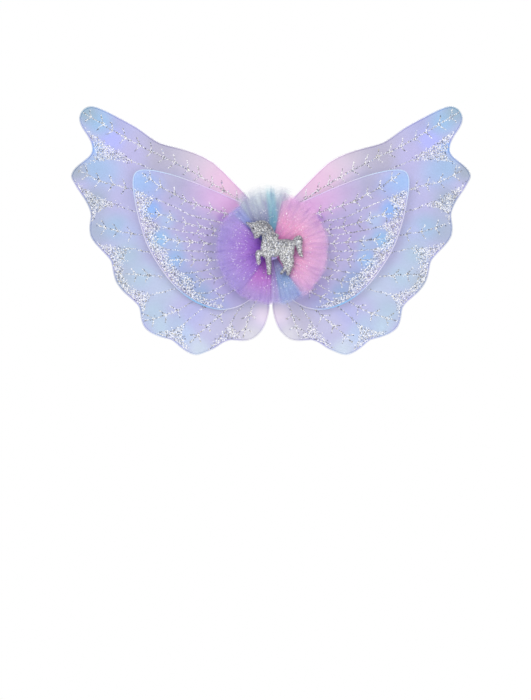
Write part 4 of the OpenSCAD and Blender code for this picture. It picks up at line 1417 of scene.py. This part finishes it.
def build_loops(side):
    """Loops of woven tape, which hold the large wing's root wire to the stay and the small wing's to the large's."""
    tape = woven_material(f"tape_{side}", "EDE8F6", 0.5 * MM)
    thread = thread_material(f"tape_thread_{side}", "B9ABDC")
    x0, large_y, _ = JOINTS[f"large_wing_{side}_bend"]["pos_m"]
    small_x, small_y, _ = JOINTS[f"small_wing_{side}_open"]["pos_m"]
    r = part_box(f"bridles_{side}")[1].y - large_y
    bore = 0.95 * MM
    foot_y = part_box(f"hinge_loops_{side}")[1].y

    def make(name, body, node, parts, pairs, arch, out):
        add_piece(f"{name}_tape_{side}", merge(parts), tape, body, [node])
        add_piece(f"{name}_stitches_{side}", stitch_mesh(pairs, 0.16 * MM, arch, out), thread, body,
                  recalculate=False)

    # Round the root wire, with a foot on the stay
    arc = [(x0 + r * math.cos(t), large_y + r * math.sin(t)) for t in np.radians(np.linspace(155, 385, 40))]
    foot = [(1.86, 0.9), (1.95, 0.25), (1.9, 0.01), (0, 0), (-1.9, 0.01), (-1.95, 0.25), (-1.86, 0.9)]
    contour = arc + [(x0 + x * MM, foot_y - y * MM) for x, y in foot]
    parts, pairs = [], []
    for z0, z1 in loop_heights(f"hinge_loops_{side}"):
        parts.append(tape_solid(contour, [circle(x0, large_y, bore)], z0, z1))
        for x in (-1.75, 1.75):
            px, z = x0 + x * MM, z0 + 1 * MM
            while z < z1 - 1.5 * MM:
                pairs.append([(px, foot_y - 0.7 * MM, z),
                              (px + math.copysign(0.35, x) * MM, foot_y + 0.05 * MM, z + 0.9 * MM)])
                z += 2 * MM
    make("hinge", "centre", f"hinge_loops_{side}", parts, pairs, 0.25 * MM, (0, -1, 0))

    # Round both root wires, with a waist between them
    gap = large_y - small_y
    contour = []
    for t in np.linspace(0, TURN, 72, endpoint=False):
        y = small_y + gap / 2 + (gap / 2 + r) * math.sin(t)
        near = min(abs(y - large_y), abs(y - small_y))
        waist = 0.9 * MM if small_y < y < large_y else 0.0
        half = max(math.sqrt(max(0.0, r * r - near * near)), waist)
        contour.append((x0 + math.copysign(half, math.cos(t)), y))
    contour = resample(contour, 0.3 * MM, closed=True)
    holes = [circle(x0, large_y, WIRE_BORE), circle(small_x, small_y, bore)]
    parts, pairs = [], []
    y = (large_y + small_y) / 2
    for z0, z1 in loop_heights(f"bridles_{side}"):
        parts.append(tape_solid(contour, holes, z0, z1))
        for k in (-1, 0, 1):
            z = (z0 + z1) / 2 + k * 1.9 * MM
            for x in (x0 - 0.85 * MM, x0 + 0.85 * MM):
                pairs.append([(x, y - 0.8 * MM, z), (x, y + 0.8 * MM, z + 0.5 * MM)])
    make("bridle", f"large_wing_{side}", f"bridles_{side}", parts, pairs, 0.1 * MM, (SIDES[side], 0, 0))


def build_splices(side, rows=40, sides=32):
    """Crimped sleeves that close the wire loops."""
    metal = grained_material(f"splice_metal_{side}", (0.60, 0.60, 0.66), 700, ((0.46, 0.46, 0.52), (0.72, 0.72, 0.78)),
                             0.2, 0.0001, Metallic=1.0, Roughness=0.34)
    for size in LOOKS:
        low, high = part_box(f"{size}_splice_{side}")
        x, y, r, length = (low.x + high.x) / 2, (low.y + high.y) / 2, (high.x - low.x) / 2, high.z - low.z
        verts = []
        for share in (k / rows for k in range(rows + 1)):
            dent = sum(math.exp(-((share - c) / 0.06) ** 2) for c in (0.25, 0.5, 0.75))
            end = max(0.0, 1 - min(share, 1 - share) * length / (0.4 * MM))
            for c, s in circle(0, 0, 1, sides):
                rr = r * (1 - 0.16 * dent * abs(s) ** 3) - 0.2 * MM * end * end
                verts.append((x + rr * c, y + rr * s, low.z + length * share))
        faces = ring_faces(rows + 1, sides)
        # End faces: a ring down to the wire
        for row, z in ((0, low.z), (rows, high.z)):
            base, ring = len(verts), row * sides
            verts += [(px, py, z) for px, py in circle(x, y, WIRE_BORE, sides)]
            faces += [(ring + i, ring + (i + 1) % sides, base + (i + 1) % sides, base + i) for i in range(sides)]
        add_piece(f"{size}_crimp_{side}", (verts, faces), metal, f"{size}_wing_{side}",
                  [f"{size}_splice_{side}"])


def strap_line(side):
    """Middle line of a shoulder strap in the YZ plane, from its top end round to its bottom end."""
    loop = face_loop(f"shoulder_strap_{side}", (1, 0, 0))[:, [1, 2]]
    onward = np.abs(np.roll(loop, -1, 0) - loop)
    ends = np.flatnonzero((onward[:, 0] > 1.0 * MM) & (onward[:, 1] < 0.4 * MM) & (loop[:, 0] < 0))
    a, b = int(ends[0]), int(ends[1])
    sides = (np.roll(loop, -(a + 1), 0)[: (b - a) % len(loop)],
             np.roll(loop, -(b + 1), 0)[: (a - b) % len(loop)][::-1])
    steps = 160
    sides = [resample(line, np.sum(np.linalg.norm(np.diff(line, axis=0), axis=1)) / steps) for line in sides]
    middle = (sides[0] + sides[1]) / 2
    return middle if middle[0, 1] > middle[-1, 1] else middle[::-1]


def elastic_material(name):
    s = Shader(name, "F2F2F7", Roughness=0.65, Sheen_Weight=0.4, Sheen_Roughness=0.5)
    x, y, z = s.axes()
    across = s.math("SINE", s.math("MULTIPLY", x, TURN / (1.1 * MM)))
    weft = s.math("SINE", s.math("MULTIPLY", s.math("ADD", y, z), TURN / (0.7 * MM)))
    knit = s.math("MULTIPLY_ADD", s.math("MULTIPLY", across, weft), 0.5, 0.5)
    soft = s.ramp(s.noise(120), (0.3, (0.95, 0.95, 0.97)), (0.7, 1))
    s.feed("Base Color", s.times(s.ramp(knit, (0.15, "D9D8E4"), (0.75, "F8F8FC")), soft))
    s.bump(knit, 0.5, 0.0002)
    return s.material


def build_strap(side):
    """Ribbed elastic, gathered at each end into a bound neck."""
    x0 = SIDES[side] * ANCHOR_X
    axis_y = JOINTS[f"strap_{side}_swing"]["pos_m"][1]
    middle = strap_line(side)
    line = resample(np.column_stack([np.full(len(middle), x0), middle]), 0.9 * MM)
    # The necks carry the band on into the collars
    top = [(x0, axis_y, z) for z in np.arange(ANCHOR_TOP - NECK, line[0][2] - 0.2 * MM, 0.8 * MM)]
    path = top + [tuple(p) for p in line] + [(x0, axis_y, -p[2]) for p in top[::-1]]
    round_r, flat_w, flat_t = 0.97 * MM, 5.0 * MM, 0.56 * MM
    opening, ribs, folds = 13, 9, 5

    def section(i):
        step = min(i, len(path) - 1 - i) - len(top)
        open_out = min(1.0, max(0.0, step / opening))
        ease = open_out * open_out * (3 - 2 * open_out)
        half_w = round_r + (flat_w - round_r) * ease
        half_t = round_r + (flat_t - round_r) * ease
        ring = []
        for c, s in circle(0, 0, 1, 40):
            a = half_w * math.copysign(abs(c) ** (1 - 0.72 * ease), c)
            b = half_t * math.copysign(abs(s) ** (1 - 0.45 * ease), s)
            rib = 0.05 * MM * math.cos(a / half_w * ribs * math.pi) * ease
            gather = 0.16 * MM * math.cos(a / half_w * folds * math.pi) * (4 * ease * (1 - ease))
            b += math.copysign(rib + gather, s) * abs(s) ** 0.3
            ring.append((b + math.copysign(0.03 * MM * math.sin(i * 2.4), s) * ease, a))
        return ring

    add_piece(f"strap_elastic_{side}", sweep(path, section, closed=False, up=(-1, 0, 0)),
              elastic_material(f"elastic_{side}"), f"strap_{side}", [f"shoulder_strap_{side}"])

    # Thread wound round each neck, just outside the collar
    parts = []
    turns, steps, r, rise = 5, 16, 1.12 * MM, 0.3 * MM
    for flip in (1, -1):
        coil = [(x0 + r * math.cos(TURN * k / steps), axis_y + r * math.sin(TURN * k / steps),
                 flip * (ANCHOR_TOP + 0.25 * MM + rise * k / steps)) for k in range(turns * steps + 1)]
        parts.append(sweep(coil, round_profile(0.17 * MM, 6), closed=False, up=(0, 0, 1)))
    add_piece(f"strap_whipping_{side}", merge(parts), thread_material(f"strap_thread_{side}", "DAD6E8"),
              f"strap_{side}")


def collar_mesh(cx, cy, radius, z_low, z_high, cords=12, count=28, proud=0.13 * MM):
    """Rings of thread round a bore, each cord that much proud of the next."""
    rows = cords * 6
    heights = [z_low + (z_high - z_low) * k / rows for k in range(rows + 1)]
    verts = []
    for k, z in enumerate(heights):
        cord = proud * abs(math.sin(math.pi * k / rows * cords))
        verts += [(x, y, z) for x, y in circle(cx, cy, radius - proud + cord, count)]
    inner = len(verts)
    verts += [(x, y, z) for z in heights for x, y in circle(cx, cy, COLLAR_BORE, count)]
    faces = ring_faces(rows + 1, count) + [f[::-1] for f in ring_faces(rows + 1, count, inner)]
    for a in (0, rows * count):
        for i, n in ((i, (i + 1) % count) for i in range(count)):
            faces.append((a + i, inner + a + i, inner + a + n, a + n))
    return verts, faces


def build_anchors():
    """Tabs of folded elastic sewn to the backing, each ending in a bound collar that a strap's neck turns in."""
    low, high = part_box("strap_anchors")
    axis_y = JOINTS["strap_right_swing"]["pos_m"][1]
    collar_r, half = axis_y - low.y, high.x - ANCHOR_X
    tab_y = min(high.y, axis_y + collar_r)
    tab_low, tab_high, neck = 25 * MM, 37 * MM, ANCHOR_TOP - NECK
    # Half width of the tab at heights up to its neck
    widths = [(half, tab_low), (half, (tab_low + tab_high) / 2), (half, tab_high - 2 * MM),
              (half * 0.72, tab_high + 0.5 * MM), (1.75 * MM, neck - 1 * MM), (1.6 * MM, neck + 0.6 * MM)]
    bands, binds, sewn = [], [], []
    for side in (-1, 1):
        for up in (-1, 1):
            cx = side * ANCHOR_X
            shape = [(cx + w, up * z) for w, z in widths] + [(cx - w, up * z) for w, z in widths[::-1]]
            shape = resample(shape, 0.7 * MM, closed=True)
            bands.append(plate_mesh(shape, tab_y - 1.2 * MM, tab_y - 0.02 * MM, 0.25 * MM))
            binds.append(collar_mesh(cx, axis_y, collar_r, up * (ANCHOR_TOP - COLLAR_LENGTH), up * ANCHOR_TOP))
            # Box stitch with a cross
            left, right, bottom, top = cx - 3.6 * MM, cx + 3.6 * MM, tab_low + 1.5 * MM, tab_high - 3 * MM
            corners = np.array([(left, bottom), (right, bottom), (right, top), (left, top)])
            for a, b in ((0, 1), (1, 2), (2, 3), (3, 0), (0, 2), (1, 3)):
                p, d = corners[a], corners[b] - corners[a]
                steps = max(2, int(np.linalg.norm(d) / (1.7 * MM)))
                for k in range(steps):
                    ends = [p + d * (k + share) / steps for share in (0.12, 0.88)]
                    sewn.append([(s[0], tab_y - 1.18 * MM, up * s[1]) for s in ends])
    thread = thread_material("anchor_thread", "CFC8E6")
    add_piece("anchor_tabs", merge(bands), woven_material("anchor_elastic", "F0F0F6", 0.8 * MM), "centre",
              ["strap_anchors"])
    add_piece("anchor_collars", merge(binds), thread, "centre")
    add_piece("anchor_stitches", stitch_mesh(sewn, radius=0.16 * MM, arch=0.12 * MM), thread, "centre",
              recalculate=False)


def build_centre():
    build_pad()
    build_cushion()
    build_stay()
    build_anchors()
    for side in SIDES:
        build_loops(side)
        build_splices(side)
        build_strap(side)


set_stage()
FLAKES = [Shader(f"glitter_{name}", colour, Metallic=metal, Roughness=0.3).material
          for name, colour, metal in GLITTER_TINTS]
build_wings(FLAKES)
build_rosette(FLAKES)
build_centre()
